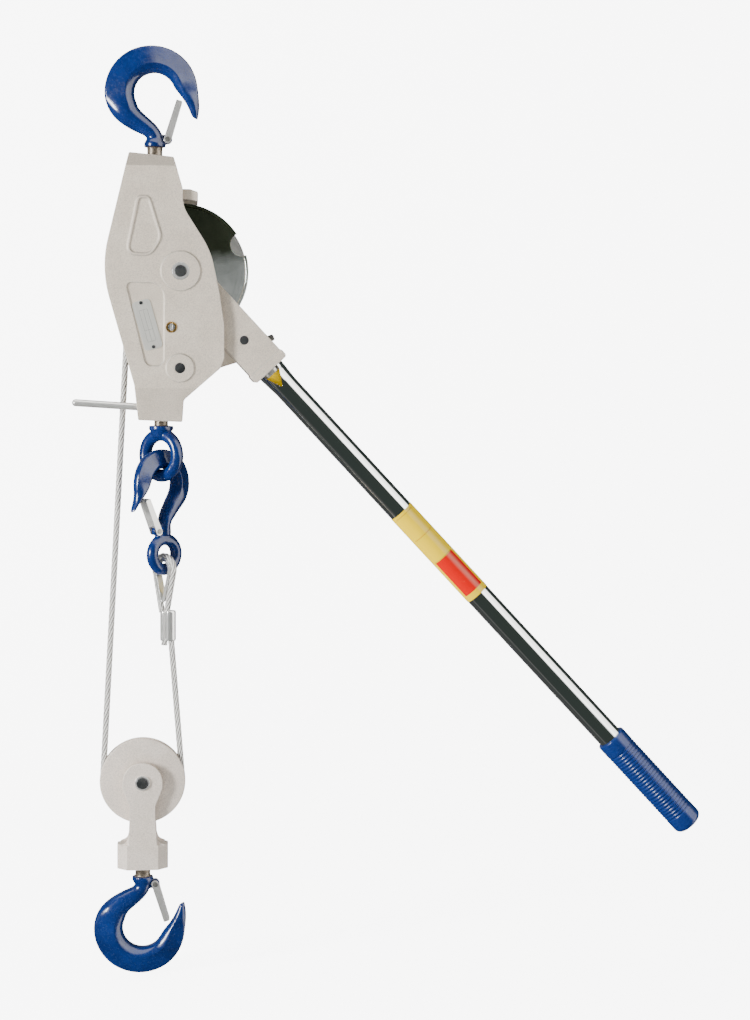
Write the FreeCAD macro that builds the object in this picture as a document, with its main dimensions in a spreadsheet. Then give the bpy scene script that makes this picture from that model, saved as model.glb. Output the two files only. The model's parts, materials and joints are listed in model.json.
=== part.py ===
"""Cable ratchet lever hoist (come along winch), built as separate pieces.

Frame of the part: +Z up, X to the right and Y to the rear, in millimetres.
The origin is the centre of the top hook's bowl. Most pieces are drawn about
a local origin (the drum axis, a hook's bowl or the lower block's pin) and
moved to their place at the end.
"""
import FreeCAD
import Part
import math
import os

Vec = FreeCAD.Vector
X_AXIS = Vec(1, 0, 0)
Y_AXIS = Vec(0, 1, 0)
Z_AXIS = Vec(0, 0, 1)

# Driving dimensions: alias, value in mm or degrees, note.
SIZES = [
    ("drum_x", 25.0, "drum axis, right of the top hook's bowl"),
    ("drum_z", -173.4, "drum axis, above the top hook's bowl"),
    ("block_x", -37.5, "lower block axis from the drum axis"),
    ("block_z", -504.0, "sheave pin from the drum axis"),
    ("lower_bowl_z", -653.0, "bottom hook's bowl from the drum axis"),
    ("eye_x", -19.0, "swivel eye axis from the drum axis"),
    ("eye_z", -179.4, "centre of the swivel eye's ring"),
    ("plate_inner", 30.0, "half the space between the frame plates"),
    ("plate_thick", 6.0, "frame plate thickness"),
    ("top_block_low", 88.0, "underside of the frame's top block"),
    ("low_block_high", -124.0, "top of the frame's lower block"),
    ("shaft_radius", 5.7, "drum shaft"),
    ("bush_radius", 8.4, "shaft bush outside"),
    ("running_gap", 0.05, "radial gap of a running fit"),
    ("boss_radius", 18.9, "boss round the drum shaft"),
    ("boss_proud", 1.5, "how far a boss stands off its plate"),
    ("pawl_pin_radius", 5.0, "holding pawl pin"),
    ("pawl_pin_drop", 93.5, "holding pawl pin below the drum axis"),
    ("pawl_boss_radius", 13.5, "boss round the holding pawl pin"),
    ("disc_radius", 66.0, "drum's front flange"),
    ("ratchet_tip", 60.0, "ratchet wheel over its teeth"),
    ("ratchet_root", 52.0, "ratchet wheel at the tooth roots"),
    ("tooth_count", 20.0, "ratchet teeth"),
    ("tooth_start", -118.8, "angle of one tooth's steep face, degrees"),
    ("pawl_lift", 12.0, "angle a lifted pawl is turned out by, degrees"),
    ("core_radius", 45.7, "drum core under the rope"),
    ("rope_radius", 3.15, "wire rope"),
    ("wrap_pitch", 6.5, "spacing of the turns on the drum"),
    ("wrap_count", 3.0, "turns of rope on the drum"),
    ("handle_angle", 46.9, "handle below horizontal at rest, degrees"),
    ("yoke_half_width", 19.5, "half the yoke's width"),
    ("yoke_length", 129.5, "yoke lip from the drum axis"),
    ("cheek_inner", 22.5, "half the space between the yoke's cheeks"),
    ("cheek_outer", 28.5, "half the yoke over its cheeks"),
    ("drive_pin_reach", 90.4, "drive pawl pin from the drum axis"),
    ("drive_pin_radius", 4.3, "drive pawl pin"),
    ("tube_radius", 12.6, "handle tube outside"),
    ("tube_bore", 11.0, "handle tube inside"),
    ("tube_start", 119.2, "inner end of the handle tube"),
    ("grip_start", 638.5, "start of the grip"),
    ("grip_end", 762.0, "end of the grip"),
    ("grip_radius", 15.7, "grip outside"),
    ("label_start", 321.5, "start of the handle label"),
    ("label_end", 435.5, "end of the handle label"),
    ("shank_radius", 7.5, "hook shank"),
    ("bowl_land_radius", 19.8, "seat worn true in a hook's bowl"),
    ("sheave_radius", 42.5, "sheave flange"),
    ("sheave_rope_radius", 39.3, "rope centre line on the sheave"),
    ("sheave_half", 6.0, "half the sheave's thickness"),
    ("arm_inner", 8.6, "half the space between the lower block's arms"),
    ("arm_outer", 15.0, "half the lower block over its arms"),
    ("block_half", 25.2, "half the lower block across its flats"),
    ("block_low", -592.0, "underside of the lower block from the drum axis"),
    ("block_high", -567.0, "shoulder of the lower block from the drum axis"),
    ("ring_radius", 20.3, "swivel eye's ring centre line"),
    ("ring_bar", 6.3, "swivel eye's bar radius"),
    ("ring_turn", -40.0, "swivel eye turned about Z, degrees"),
    ("cable_hook_turn", 40.0, "cable hook turned about Z, degrees"),
]

doc = FreeCAD.newDocument("come_along_winch")
sheet = doc.addObject("Spreadsheet::Sheet", "Sizes")
for row, (alias, value, note) in enumerate(SIZES, start=1):
    sheet.set("A%d" % row, note)
    sheet.set("B%d" % row, str(value))
    sheet.setAlias("B%d" % row, alias)
doc.recompute()

nodes = []


def size(alias):
    """A driving dimension's value."""
    return float(getattr(sheet, alias))


def bind(obj, prop, formula):
    """Bind a property to a formula in which $name is a cell of the sheet."""
    obj.setExpression(prop, formula.replace("$", "Sizes."))


# ---------------------------------------------------------------- places

def at(x, z, y=0.0):
    """A place given from the drum axis."""
    return FreeCAD.Placement(Vec(x, y, z), FreeCAD.Rotation())


def turned(axis, angle):
    return FreeCAD.Placement(Vec(), FreeCAD.Rotation(axis, angle))


DRUM = at(size("drum_x"), size("drum_z"))
HANDLE = DRUM.multiply(turned(Y_AXIS, size("handle_angle")))
TOP_HOOK = at(0, 0)
BLOCK = DRUM.multiply(at(size("block_x"), size("block_z")))
LOW_HOOK = DRUM.multiply(at(size("block_x"), size("lower_bowl_z"))).multiply(
    turned(X_AXIS, 180))
EYE = DRUM.multiply(at(size("eye_x"), size("eye_z"))).multiply(
    turned(Z_AXIS, size("ring_turn")))


def publish(obj, label, place=DRUM):
    """Name a finished sub-part and move it from its local frame to its place."""
    doc.recompute()
    obj.Placement = place.multiply(obj.Placement)
    obj.Label = label
    nodes.append(obj)
    return obj


# ---------------------------------------------------------------- primitives

def along_y(x, z, y_start):
    """Placement of a cylinder that runs along +Y from y_start."""
    return FreeCAD.Placement(Vec(x, y_start, z), FreeCAD.Rotation(X_AXIS, -90))


def along_x(x_start, y=0.0, z=0.0):
    return FreeCAD.Placement(Vec(x_start, y, z), FreeCAD.Rotation(Y_AXIS, 90))


def rod(name, radius, length, place):
    """A cylinder whose radius and length are formulas or numbers."""
    obj = doc.addObject("Part::Cylinder", name)
    bind(obj, "Radius", str(radius))
    bind(obj, "Height", str(length))
    obj.Placement = place
    return obj


def pin_y(name, x, z, radius, y_low, y_high):
    """A round bar along Y between two Y positions."""
    return rod(name, radius, y_high - y_low, along_y(x, z, y_low))


def post_z(name, x, y, radius, z_low, z_high):
    place = FreeCAD.Placement(Vec(x, y, z_low), FreeCAD.Rotation())
    return rod(name, radius, z_high - z_low, place)


def cone_z(name, x, z_low, z_high, radius_low, radius_high):
    obj = doc.addObject("Part::Cone", name)
    obj.Radius1 = radius_low
    obj.Radius2 = radius_high
    obj.Height = z_high - z_low
    obj.Placement = at(x, z_low)
    return obj


def block(name, low, high):
    """A box between two corners."""
    obj = doc.addObject("Part::Box", name)
    obj.Length = high[0] - low[0]
    obj.Width = high[1] - low[1]
    obj.Height = high[2] - low[2]
    obj.Placement = FreeCAD.Placement(Vec(*low), FreeCAD.Rotation())
    return obj


def torus_y(name, x, z, y, ring, bar, start=0.0, sweep=360.0):
    """A ring about a line along Y; start is measured from +X towards +Z."""
    obj = doc.addObject("Part::Torus", name)
    bind(obj, "Radius1", str(ring))
    bind(obj, "Radius2", str(bar))
    obj.Angle3 = sweep
    turn = FreeCAD.Rotation(X_AXIS, 90).multiply(FreeCAD.Rotation(Z_AXIS, start))
    obj.Placement = FreeCAD.Placement(Vec(x, y, z), turn)
    return obj


def fuse(name, shapes):
    obj = doc.addObject("Part::MultiFuse", name)
    obj.Shapes = shapes
    return obj


def cut(name, base, tools):
    """The base with one or more tools taken away."""
    obj = doc.addObject("Part::Cut", name)
    obj.Base = base
    obj.Tool = tools[0] if len(tools) == 1 else fuse(name + "_tools", tools)
    return obj


def group(name, solids):
    """Identical separate solids kept in one sub-part."""
    obj = doc.addObject("Part::Compound", name)
    obj.Links = solids
    return obj


def ring_y(name, x, z, outer, inner, y_low, y_high):
    """A washer or bush about a line along Y."""
    body = pin_y(name + "_out", x, z, outer, y_low, y_high)
    bore = pin_y(name + "_bore", x, z, inner, y_low - 1, y_high + 1)
    return cut(name, body, [bore])


# ---------------------------------------------------------------- outlines

def rounded(corners):
    """Lines and arcs of a closed outline of (x, z, corner radius) points."""
    count = len(corners)
    ends = []
    arcs = []
    for i, (x, z, radius) in enumerate(corners):
        here = Vec(x, z, 0)
        back = Vec(*corners[i - 1][:2], 0) - here
        ahead = Vec(*corners[(i + 1) % count][:2], 0) - here
        back.normalize()
        ahead.normalize()
        half = back.getAngle(ahead) / 2
        reach = radius / math.tan(half) if radius else 0.0
        start = here + back * reach
        end = here + ahead * reach
        ends.append((start, end))
        if radius:
            middle = back + ahead
            middle.normalize()
            centre = here + middle * (radius / math.sin(half))
            arcs.append(Part.Arc(start, centre - middle * radius, end))
    lines = []
    for i in range(count):
        start = ends[i][1]
        end = ends[(i + 1) % count][0]
        if start.distanceToPoint(end) > 1e-6:
            lines.append(Part.LineSegment(start, end))
    return lines + arcs


def sketch(body, role, name, offset, geometry):
    """A sketch on one of a body's origin planes."""
    obj = body.newObject("Sketcher::SketchObject", name)
    plane = [f for f in body.Origin.OriginFeatures if f.Role == role][0]
    obj.AttachmentSupport = [(plane, "")]
    obj.MapMode = "FlatFace"
    bind(obj, "AttachmentOffset.Base.z", str(offset))
    obj.addGeometry(geometry, False)
    return obj


def plate_y(name, geometry, back, thick):
    """A plate of an XZ outline: it starts at Y = back and grows to -Y."""
    body = doc.addObject("PartDesign::Body", name)
    outline = sketch(body, "XZ_Plane", name + "_outline", "-(%s)" % back, geometry)
    pad = body.newObject("PartDesign::Pad", name + "_pad")
    pad.Profile = outline
    bind(pad, "Length", str(thick))
    return body


def prism_z(name, geometry, low, height):
    """A prism of an XY outline that stands on Z = low."""
    body = doc.addObject("PartDesign::Body", name)
    outline = sketch(body, "XY_Plane", name + "_outline", low, geometry)
    pad = body.newObject("PartDesign::Pad", name + "_pad")
    pad.Profile = outline
    bind(pad, "Length", str(height))
    return body


def prism_x(name, geometry, low, length):
    """A prism of a YZ outline that starts at X = low."""
    body = doc.addObject("PartDesign::Body", name)
    outline = sketch(body, "YZ_Plane", name + "_outline", low, geometry)
    pad = body.newObject("PartDesign::Pad", name + "_pad")
    pad.Profile = outline
    bind(pad, "Length", str(length))
    return body


def turned_part(name, profile, place):
    """A body turned about its own Z axis from (radius, height) points."""
    body = doc.addObject("PartDesign::Body", name)
    points = [(radius, height, 0) for radius, height in profile]
    outline = sketch(body, "XZ_Plane", name + "_profile", 0, rounded(points))
    spin = body.newObject("PartDesign::Revolution", name + "_turn")
    spin.Profile = outline
    spin.ReferenceAxis = (outline, ["V_Axis"])
    spin.Angle = 360
    body.Placement = place
    return body


def sweep_bar(name, path, radius, place=None):
    """A round bar along a wire, as a sub-part whose shape is set directly."""
    start = path.Edges[0].valueAt(path.Edges[0].FirstParameter)
    heading = path.Edges[0].tangentAt(path.Edges[0].FirstParameter)
    profile = Part.Wire(Part.makeCircle(radius, start, heading))
    obj = doc.addObject("Part::Feature", name)
    obj.Shape = path.makePipeShell([profile], True, True)
    if place:
        obj.Placement = place
    return obj


def coil_y(name, x, z, radius, wire, y_low, turns):
    """A coil spring about a line along Y, its turns just apart."""
    helix = Part.makeHelix(wire * 2.3, wire * 2.3 * turns, radius)
    return sweep_bar(name, Part.Wire(helix.Edges), wire, along_y(x, z, y_low))


def hexagon(x, z, flat, turn=0.0):
    """Hexagon outline by its half width across flats."""
    corner = flat / math.cos(math.radians(30))
    points = []
    for k in range(6):
        angle = math.radians(60 * k + turn)
        points.append((x + corner * math.cos(angle), z + corner * math.sin(angle), 0))
    return rounded(points)


def nut_z(name, x, flat, bore, low, height):
    """A hexagon nut about a line along Z."""
    body = prism_z(name + "_hex", hexagon(x, 0, flat), low, height)
    hole = post_z(name + "_hole", x, 0, bore, low - 1, low + height + 1)
    return cut(name, body, [hole])


# ---------------------------------------------------------------- frame

TOP_AXIS = -size("drum_x")
HOOK_HOLE = size("shank_radius") + 0.08
EYE_SHANK = 7.15
PAWL_PIN = (-0.5, -size("pawl_pin_drop"))
DRAG_SCREW = (-8.8, -54.1)
LEVER_PIVOT = (-8.0, -129.5)
SCREW_PLACES = [(-6.0, 74.0), (-39.0, 96.0), (-35.0, -132.0), (-5.0, -132.0)]
LEVER_PIN_START = -32.0
NAME_PLATE_TILT = 16.0
POCKET_DEPTH = 1.4

# Left side, lower left, bottom, lower right lobe, waist and top.
PLATE_FRONT = [
    (-49.6, 113.6, 1.5), (-76.6, 2.2, 110), (-44.6, -110.5, 4),
    (-41.1, -144.3, 1.5), (1.8, -146.0, 1.5), (3.2, -124.5, 5), (38.5, -93.5, 8),
    (42.2, -84.0, 4), (42.2, -52.0, 10), (37.6, -21.0, 20), (29.0, 20.0, 80),
    (2.3, 62.0, 30), (2.0, 79.5, 6), (-6.6, 109.5, 1.5),
]
# The rear plate also carries the guard lobe under the handle's yoke.
PLATE_REAR = [
    (-49.6, 113.6, 1.5), (-76.6, 2.2, 110), (-44.6, -110.5, 4),
    (-41.1, -144.3, 1.5), (1.8, -146.0, 1.5), (3.2, -124.5, 5), (38.5, -93.5, 4),
    (57.5, -87.5, 3), (60.0, -78.0, 3), (42.2, -46.0, 8), (37.6, -21.0, 20),
    (29.0, 20.0, 80), (2.3, 62.0, 30), (2.0, 79.5, 6), (-6.6, 109.5, 1.5),
]


def bevel_tools(name, side):
    """Wedges that slope a casting's outer face in at its top and bottom."""
    outer = side * (size("plate_inner") + size("plate_thick"))
    away = outer + side * 4
    top = [(outer, 100.5, 0), (away, 100.5, 0), (away, 118, 0), (outer - side * 8, 118, 0)]
    low = [(outer, -113, 0), (away, -113, 0), (away, -150, 0), (outer - side * 6, -150, 0)]
    return [
        prism_x(name + "_top_bevel", rounded(top), -90, 180),
        prism_x(name + "_low_bevel", rounded(low), -90, 180),
    ]


def casting(name, outline, side):
    """Half of the frame: a plate with half of both end blocks behind it."""
    inner = size("plate_inner")
    outer = inner + size("plate_thick")
    low_y, high_y = (-outer, 0) if side < 0 else (0, outer)
    slab = plate_y(name + "_slab", rounded(outline), high_y, outer)
    cavity_low = (-90, -inner if side < 0 else -1, size("low_block_high"))
    cavity_high = (90, 1 if side < 0 else inner, size("top_block_low"))
    cavity = block(name + "_cavity", cavity_low, cavity_high)
    hollow = cut(name + "_hollow", slab, [cavity] + bevel_tools(name, side))
    face = low_y if side < 0 else high_y
    boss_low = face - size("boss_proud") if side < 0 else face - 1
    boss_high = face + 1 if side < 0 else face + size("boss_proud")
    bosses = [
        pin_y(name + "_drum_boss", 0, 0, "$boss_radius", boss_low, boss_high),
        pin_y(name + "_pawl_boss", PAWL_PIN[0], PAWL_PIN[1], "$pawl_boss_radius",
              boss_low, boss_high),
    ]
    solid = fuse(name + "_solid", [hollow] + bosses)
    reach = outer + 3
    y_low, y_high = (-reach, 1) if side < 0 else (-1, reach)
    holes = [
        pin_y(name + "_bush_hole", 0, 0, "$bush_radius", y_low, y_high),
        pin_y(name + "_pin_hole", PAWL_PIN[0], PAWL_PIN[1], "$pawl_pin_radius",
              y_low, y_high),
        post_z(name + "_hook_hole", TOP_AXIS, 0, HOOK_HOLE, 80, 120),
        post_z(name + "_eye_hole", size("eye_x"), 0, EYE_SHANK + 0.08, -150, -120),
    ]
    return solid, holes


def teardrop(grow):
    """Outline of the rib on the front plate, grown all round."""
    return rounded([
        (-40.5 - 1.2 * grow, 70.5 + grow, 4.5 + grow),
        (-30.5 + 0.8 * grow, 70.5 + grow, 4.5 + grow),
        (-18.5 + 1.2 * grow, 32.0 - 0.2 * grow, 14 + grow),
        (-29.0 + 0.5 * grow, 15.0 - 1.1 * grow, 12 + grow),
        (-51.5 - 1.3 * grow, 16.5 - grow, 7 + grow),
    ])


def front_frame():
    """Front casting with its rib, label pocket, drag screw and lever slot."""
    solid, holes = casting("front", PLATE_FRONT, -1)
    face = -(size("plate_inner") + size("plate_thick"))
    rib = cut("rib", plate_y("rib_out", teardrop(1.0), face + 1, 2.3),
              [plate_y("rib_in", teardrop(-1.0), face + 2, 4)])
    pocket_points = [(-53.0, -11.0, 5), (-15.8, -11.5, 14), (-15.8, -92.0, 8), (-33.5, -92.0, 8)]
    pocket = plate_y("label_pocket", rounded(pocket_points), face + POCKET_DEPTH, 4)
    screw = pin_y("drag_hole", DRAG_SCREW[0], DRAG_SCREW[1], 5.3, face - 3, 0)
    slot = block("lever_slot", (-90, -29.5, -138.0), (90, -20, size("low_block_high") + 1))
    pivot = pin_y("pivot_hole", LEVER_PIVOT[0], LEVER_PIVOT[1], 3.0, LEVER_PIN_START, -15)
    threads = []
    for k, (x, z) in enumerate(SCREW_PLACES[1:]):
        threads.append(pin_y("thread%d" % k, x, z, 3.0, -12, 1))
    body = fuse("front_ribbed", [solid, rib])
    tools = holes + [pocket, screw, slot, pivot] + threads
    publish(cut("front_frame", body, tools), "front_frame")


def rear_frame():
    """Rear casting, with counterbored holes for the frame screws."""
    solid, holes = casting("rear", PLATE_REAR, 1)
    outer = size("plate_inner") + size("plate_thick")
    for k, (x, z) in enumerate(SCREW_PLACES):
        holes.append(pin_y("screw_hole%d" % k, x, z, 3.0, -1, outer + 3))
        holes.append(pin_y("screw_seat%d" % k, x, z, 5.6, outer - 4.5, outer + 3))
    publish(cut("rear_frame", solid, holes), "rear_frame")


def stop_block():
    """Spacer between the plates that also stops the handle's upward swing."""
    inner = size("plate_inner")
    points = [(-9.5, 62, 0), (16.8, 62, 0), (16.8, 76.4, 2), (9, 79, 2), (-9.5, 79, 0)]
    bar = plate_y("stop_bar", rounded(points), inner, 2 * inner)
    arc = pin_y("stop_arc", 0, 0, 69.3, -inner - 1, inner + 1)
    thread = pin_y("stop_thread", SCREW_PLACES[0][0], SCREW_PLACES[0][1], 3.0, 12, inner + 1)
    publish(cut("stop_block", bar, [arc, thread]), "stop_block")


def frame_screws():
    """Four socket cap screws that close the frame from the rear."""
    outer = size("plate_inner") + size("plate_thick")
    screws = []
    for k, (x, z) in enumerate(SCREW_PLACES):
        tip = 12.5 if k == 0 else -11.5
        shank = pin_y("screw_shank%d" % k, x, z, 3.0, tip, outer - 4)
        head = pin_y("screw_head%d" % k, x, z, 5.3, outer - 4.5, outer + 1)
        socket = plate_y("screw_socket%d" % k, hexagon(x, z, 2.5), outer + 2, 4)
        screws.append(cut("screw%d" % k, fuse("screw_body%d" % k, [shank, head]), [socket]))
    publish(group("frame_screws", screws), "frame_screws")


def name_plate():
    """Blank plate and its two rivets, tilted in the front pocket."""
    floor = POCKET_DEPTH - size("plate_inner") - size("plate_thick")
    half_w, half_l = 9.0, 24.2
    corners = [(-half_w, half_l, 3.5), (-half_w, -half_l, 3.5), (half_w, -half_l, 3.5),
               (half_w, half_l, 3.5)]
    tilt = turned(Y_AXIS, -NAME_PLATE_TILT)
    centre = at(-32.1, -52.1)
    plate = plate_y("plate_sheet", rounded(corners), floor, 0.7)
    drills = []
    rivets = []
    for k, z in enumerate((half_l - 2.3, 2.3 - half_l)):
        drills.append(pin_y("plate_drill%d" % k, 0, z, 1.0, floor - 2, floor + 1))
        stem = pin_y("rivet_stem%d" % k, 0, z, 1.0, floor - 0.75, floor)
        head = pin_y("rivet_head%d" % k, 0, z, 1.7, floor - 1.4, floor - 0.7)
        rivets.append(fuse("rivet%d" % k, [stem, head]))
    place = DRUM.multiply(centre).multiply(tilt)
    publish(cut("name_plate", plate, drills), "name_plate", place)
    publish(group("name_plate_rivets", rivets), "name_plate_rivets", place)


def drag_parts():
    """Brass screw, spring and plunger that drag lightly on the drum flange."""
    x, z = DRAG_SCREW
    face = -(size("plate_inner") + size("plate_thick"))
    plug = pin_y("plug", x, z, 5.3, face - 0.8, -31)
    bore = pin_y("plug_bore", x, z, 3.6, face + 1.4, -30)
    slot = block("plug_slot", (x - 0.6, face - 2, z - 6), (x + 0.6, face + 0.1, z + 6))
    publish(cut("drag_screw", plug, [bore, slot]), "drag_screw")
    stem = pin_y("plunger_stem", x, z, 3.0, -27.0, -20.1)
    publish(stem, "drag_plunger")
    coil = coil_y("drag_coil", x, z, 2.6, 0.45, -34.0, 6)
    publish(coil, "drag_spring")


# ---------------------------------------------------------------- shaft and drum

def shaft_parts():
    """Drum shaft, its two bushes and the clips that keep it in place."""
    inner = size("plate_inner")
    outer = inner + size("plate_thick") + size("boss_proud") + 0.5
    bar = pin_y("shaft_bar", 0, 0, "$shaft_radius", -outer - 0.6, outer + 0.6)
    grooves = []
    clips = []
    bushes = []
    for k, y in enumerate((-inner + 0.25, inner - 1.25)):
        grooves.append(ring_y("clip_groove%d" % k, 0, 0, 7.0, 5.0, y, y + 1.0))
        clips.append(ring_y("clip%d" % k, 0, 0, 8.0, 5.0, y, y + 1.0))
    for k, y in enumerate((-outer, inner)):
        bushes.append(ring_y("bush%d" % k, 0, 0, "$bush_radius",
                             "$shaft_radius + $running_gap", y, y + outer - inner))
    publish(cut("drum_shaft", bar, grooves), "drum_shaft")
    publish(group("shaft_bushes", bushes), "shaft_bushes")
    publish(group("shaft_clips", clips), "shaft_clips")


BORE = "$shaft_radius + $running_gap"


def along_rear(x=0.0, z=0.0):
    """Placement that turns a lathe axis (Z) to point along +Y."""
    return FreeCAD.Placement(Vec(x, 0, z), FreeCAD.Rotation(X_AXIS, -90))


def front_disc():
    """Pressed front flange of the drum, with a rolled rim and a finger notch."""
    rim = size("disc_radius")
    bore = size("shaft_radius") + size("running_gap")
    profile = [
        (bore, -20), (rim - 3.5, -20), (rim - 2.5, -21.5), (rim, -21.5),
        (rim, -18), (bore, -18),
    ]
    disc = turned_part("disc_turned", profile, along_rear())
    rivet_holes = rivet_pins("disc_rivet_hole", 3.0, -23, -16)
    notch_x, notch_z = polar(65.0, 24.5)
    rivet_holes.append(pin_y("disc_notch", notch_x, notch_z, 11.0, -23, -16))
    publish(cut("front_disc", disc, rivet_holes), "front_disc")


def rivet_pins(name, radius, y_low, y_high):
    """Three bars on the drum's rivet circle."""
    bars = []
    for k in range(3):
        angle = math.radians(90 + 120 * k)
        x, z = 25 * math.cos(angle), 25 * math.sin(angle)
        bars.append(pin_y("%s%d" % (name, k), x, z, radius, y_low, y_high))
    return bars


def drum_core():
    """Drum barrel with a web and the rear flange that faces the ratchet wheel."""
    bore = size("shaft_radius") + size("running_gap")
    core = size("core_radius")
    flange = size("disc_radius") - 0.6
    profile = [
        (bore, -18), (32, -18), (32, -12), (core - 6, -12), (core - 6, -18), (core, -18),
        (core, 6), (flange, 6), (flange, 8), (core - 6, 8), (core - 6, 2), (32, 2),
        (32, 8), (bore, 8),
    ]
    barrel = turned_part("core_turned", profile, along_rear())
    holes = rivet_pins("core_rivet_hole", 3.0, -19, 9)
    publish(cut("drum_core", barrel, holes), "drum_core")


def ratchet_wheel():
    """Ratchet wheel: every tooth has a steep face and a long back."""
    pitch = 360 / size("tooth_count")
    points = []
    for k in range(int(size("tooth_count"))):
        angle = math.radians(size("tooth_start") + k * pitch)
        for radius in (size("ratchet_tip"), size("ratchet_root")):
            points.append((radius * math.cos(angle), radius * math.sin(angle), 0))
    wheel = plate_y("ratchet_blank", rounded(points), 18, 10)
    holes = rivet_pins("ratchet_rivet_hole", 3.0, 7, 19)
    holes.append(pin_y("ratchet_bore", 0, 0, BORE, 7, 19))
    publish(cut("ratchet_wheel", wheel, holes), "ratchet_wheel")


def drum_rivets():
    """Three rivets that hold flange, barrel and ratchet wheel together."""
    rivets = []
    stems = rivet_pins("rivet_bar", 3.0, -20, 18)
    heads = rivet_pins("rivet_cap", 4.6, -21.6, -20)
    for k, (stem, head) in enumerate(zip(stems, heads)):
        rivets.append(fuse("drum_rivet%d" % k, [stem, head]))
    publish(group("drum_rivets", rivets), "drum_rivets")


def hub_spacers():
    """Thrust washers between the drum and the yoke's cheeks."""
    rings = [
        ring_y("spacer_front", 0, 0, 11, BORE, -22.3, -20.1),
        ring_y("spacer_rear", 0, 0, 11, BORE, 18.2, 22.3),
    ]
    publish(group("hub_spacers", rings), "hub_spacers")


def winding_radius():
    return size("core_radius") + size("rope_radius") + 0.15


def rope_on_drum():
    """Turns of rope on the barrel; the last one stops where the rope leaves."""
    turns = []
    ring = winding_radius()
    for k in range(1, int(size("wrap_count"))):
        turns.append(torus_y("wrap%d" % k, 0, 0, -k * size("wrap_pitch"), ring,
                             "$rope_radius"))
    leave = tangent_angle()
    turns.append(torus_y("wrap0", 0, 0, 0, ring, "$rope_radius", leave - 250, 250))
    publish(group("rope_on_drum", turns), "rope_on_drum")


# ---------------------------------------------------------------- pawls and lever

def polar(radius, angle):
    return (radius * math.cos(math.radians(angle)), radius * math.sin(math.radians(angle)))


def pawl_outline(pin, tip_angle, hub):
    """A pawl from its pin to a beak that sits in the gap at tip_angle."""
    beak = polar(54.5, tip_angle)
    back = polar(64.0, tip_angle - 0.6)
    toe = polar(58.6, tip_angle + 7.7)
    reach = Vec(beak[0] - pin[0], beak[1] - pin[1], 0)
    reach.normalize()
    side = Vec(-reach.y, reach.x, 0)
    near = Vec(pin[0], pin[1], 0)
    left = near + side * hub + reach * 4
    right = near - side * hub + reach * 4
    if left.distanceToPoint(Vec(back[0], back[1], 0)) > right.distanceToPoint(
            Vec(back[0], back[1], 0)):
        left, right = right, left
    tail_left = left - reach * (hub + 4)
    tail_right = right - reach * (hub + 4)
    return [
        (beak[0], beak[1], 0.4), (toe[0], toe[1], 1.5), (right.x, right.y, 6),
        (tail_right.x, tail_right.y, hub * 0.6), (tail_left.x, tail_left.y, hub * 0.6),
        (left.x, left.y, 6), (back[0], back[1], 1.2),
    ]


def lifted(pin):
    """Turn that lifts a pawl out of the teeth about its own pin."""
    move = at(pin[0], pin[1])
    return move.multiply(turned(Y_AXIS, -size("pawl_lift"))).multiply(move.inverse())


def holding_pawl():
    """Pawl on the frame, its pin and its spring; drawn engaged, then lifted."""
    x, z = PAWL_PIN
    outer = size("plate_inner") + size("plate_thick")
    blank = plate_y("holding_blank", rounded(pawl_outline(PAWL_PIN, -115.2, 9.0)), 12.8, 4.3)
    bore = pin_y("holding_bore", x, z, "$pawl_pin_radius + $running_gap", 0, 20)
    pawl = cut("holding_pawl", blank, [bore])
    publish(pawl, "holding_pawl", DRUM.multiply(lifted(PAWL_PIN)))
    publish(pin_y("holding_pin", x, z, "$pawl_pin_radius", -outer - 1.8, outer + 1.8),
            "holding_pawl_pin")
    publish(coil_y("holding_coil", x, z, 6.5, 0.6, -1.6, 5), "holding_pawl_spring")


def reversing_lever():
    """Bent release rod with its hub, and the pin it turns on."""
    x, z = LEVER_PIVOT
    tip = Vec(-104.8, -25, -127.6)
    near = Vec(x, -25, z - 4.0)
    length = (near - tip).Length
    heading = FreeCAD.Rotation(Z_AXIS, near - tip)
    bar = rod("lever_bar", 3.5, length - 3.5, FreeCAD.Placement(
        tip + (near - tip).normalize() * 3.5, heading))
    ball = doc.addObject("Part::Sphere", "lever_ball")
    ball.Radius = 3.5
    ball.Placement = FreeCAD.Placement(tip + (near - tip).normalize() * 3.5, heading)
    hub = pin_y("lever_hub", x, z, 7.0, -28.4, -21.6)
    bore = pin_y("lever_bore", x, z, 3.05, -30, -20)
    arm = fuse("lever_arm", [bar, ball, hub])
    publish(cut("reversing_lever", arm, [bore]), "reversing_lever")
    pin = pin_y("lever_pin", x, z, 3.0, LEVER_PIN_START, -21.0)
    head = pin_y("lever_pin_head", x, z, 4.6, -21.4, -20.1)
    publish(fuse("lever_pivot_pin", [pin, head]), "lever_pivot_pin")


# ---------------------------------------------------------------- yoke and handle

# Places along the handle, from the drum axis.
YOKE_SLOT_END = 116.3
SOCKET_START = 119.0
ROLL_PIN_X = 124.5
ROLL_PIN_RADIUS = 2.0
STUB_RADIUS = 10.4
STUB_END = 134.3
NOTCH_END = 150.0


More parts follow.
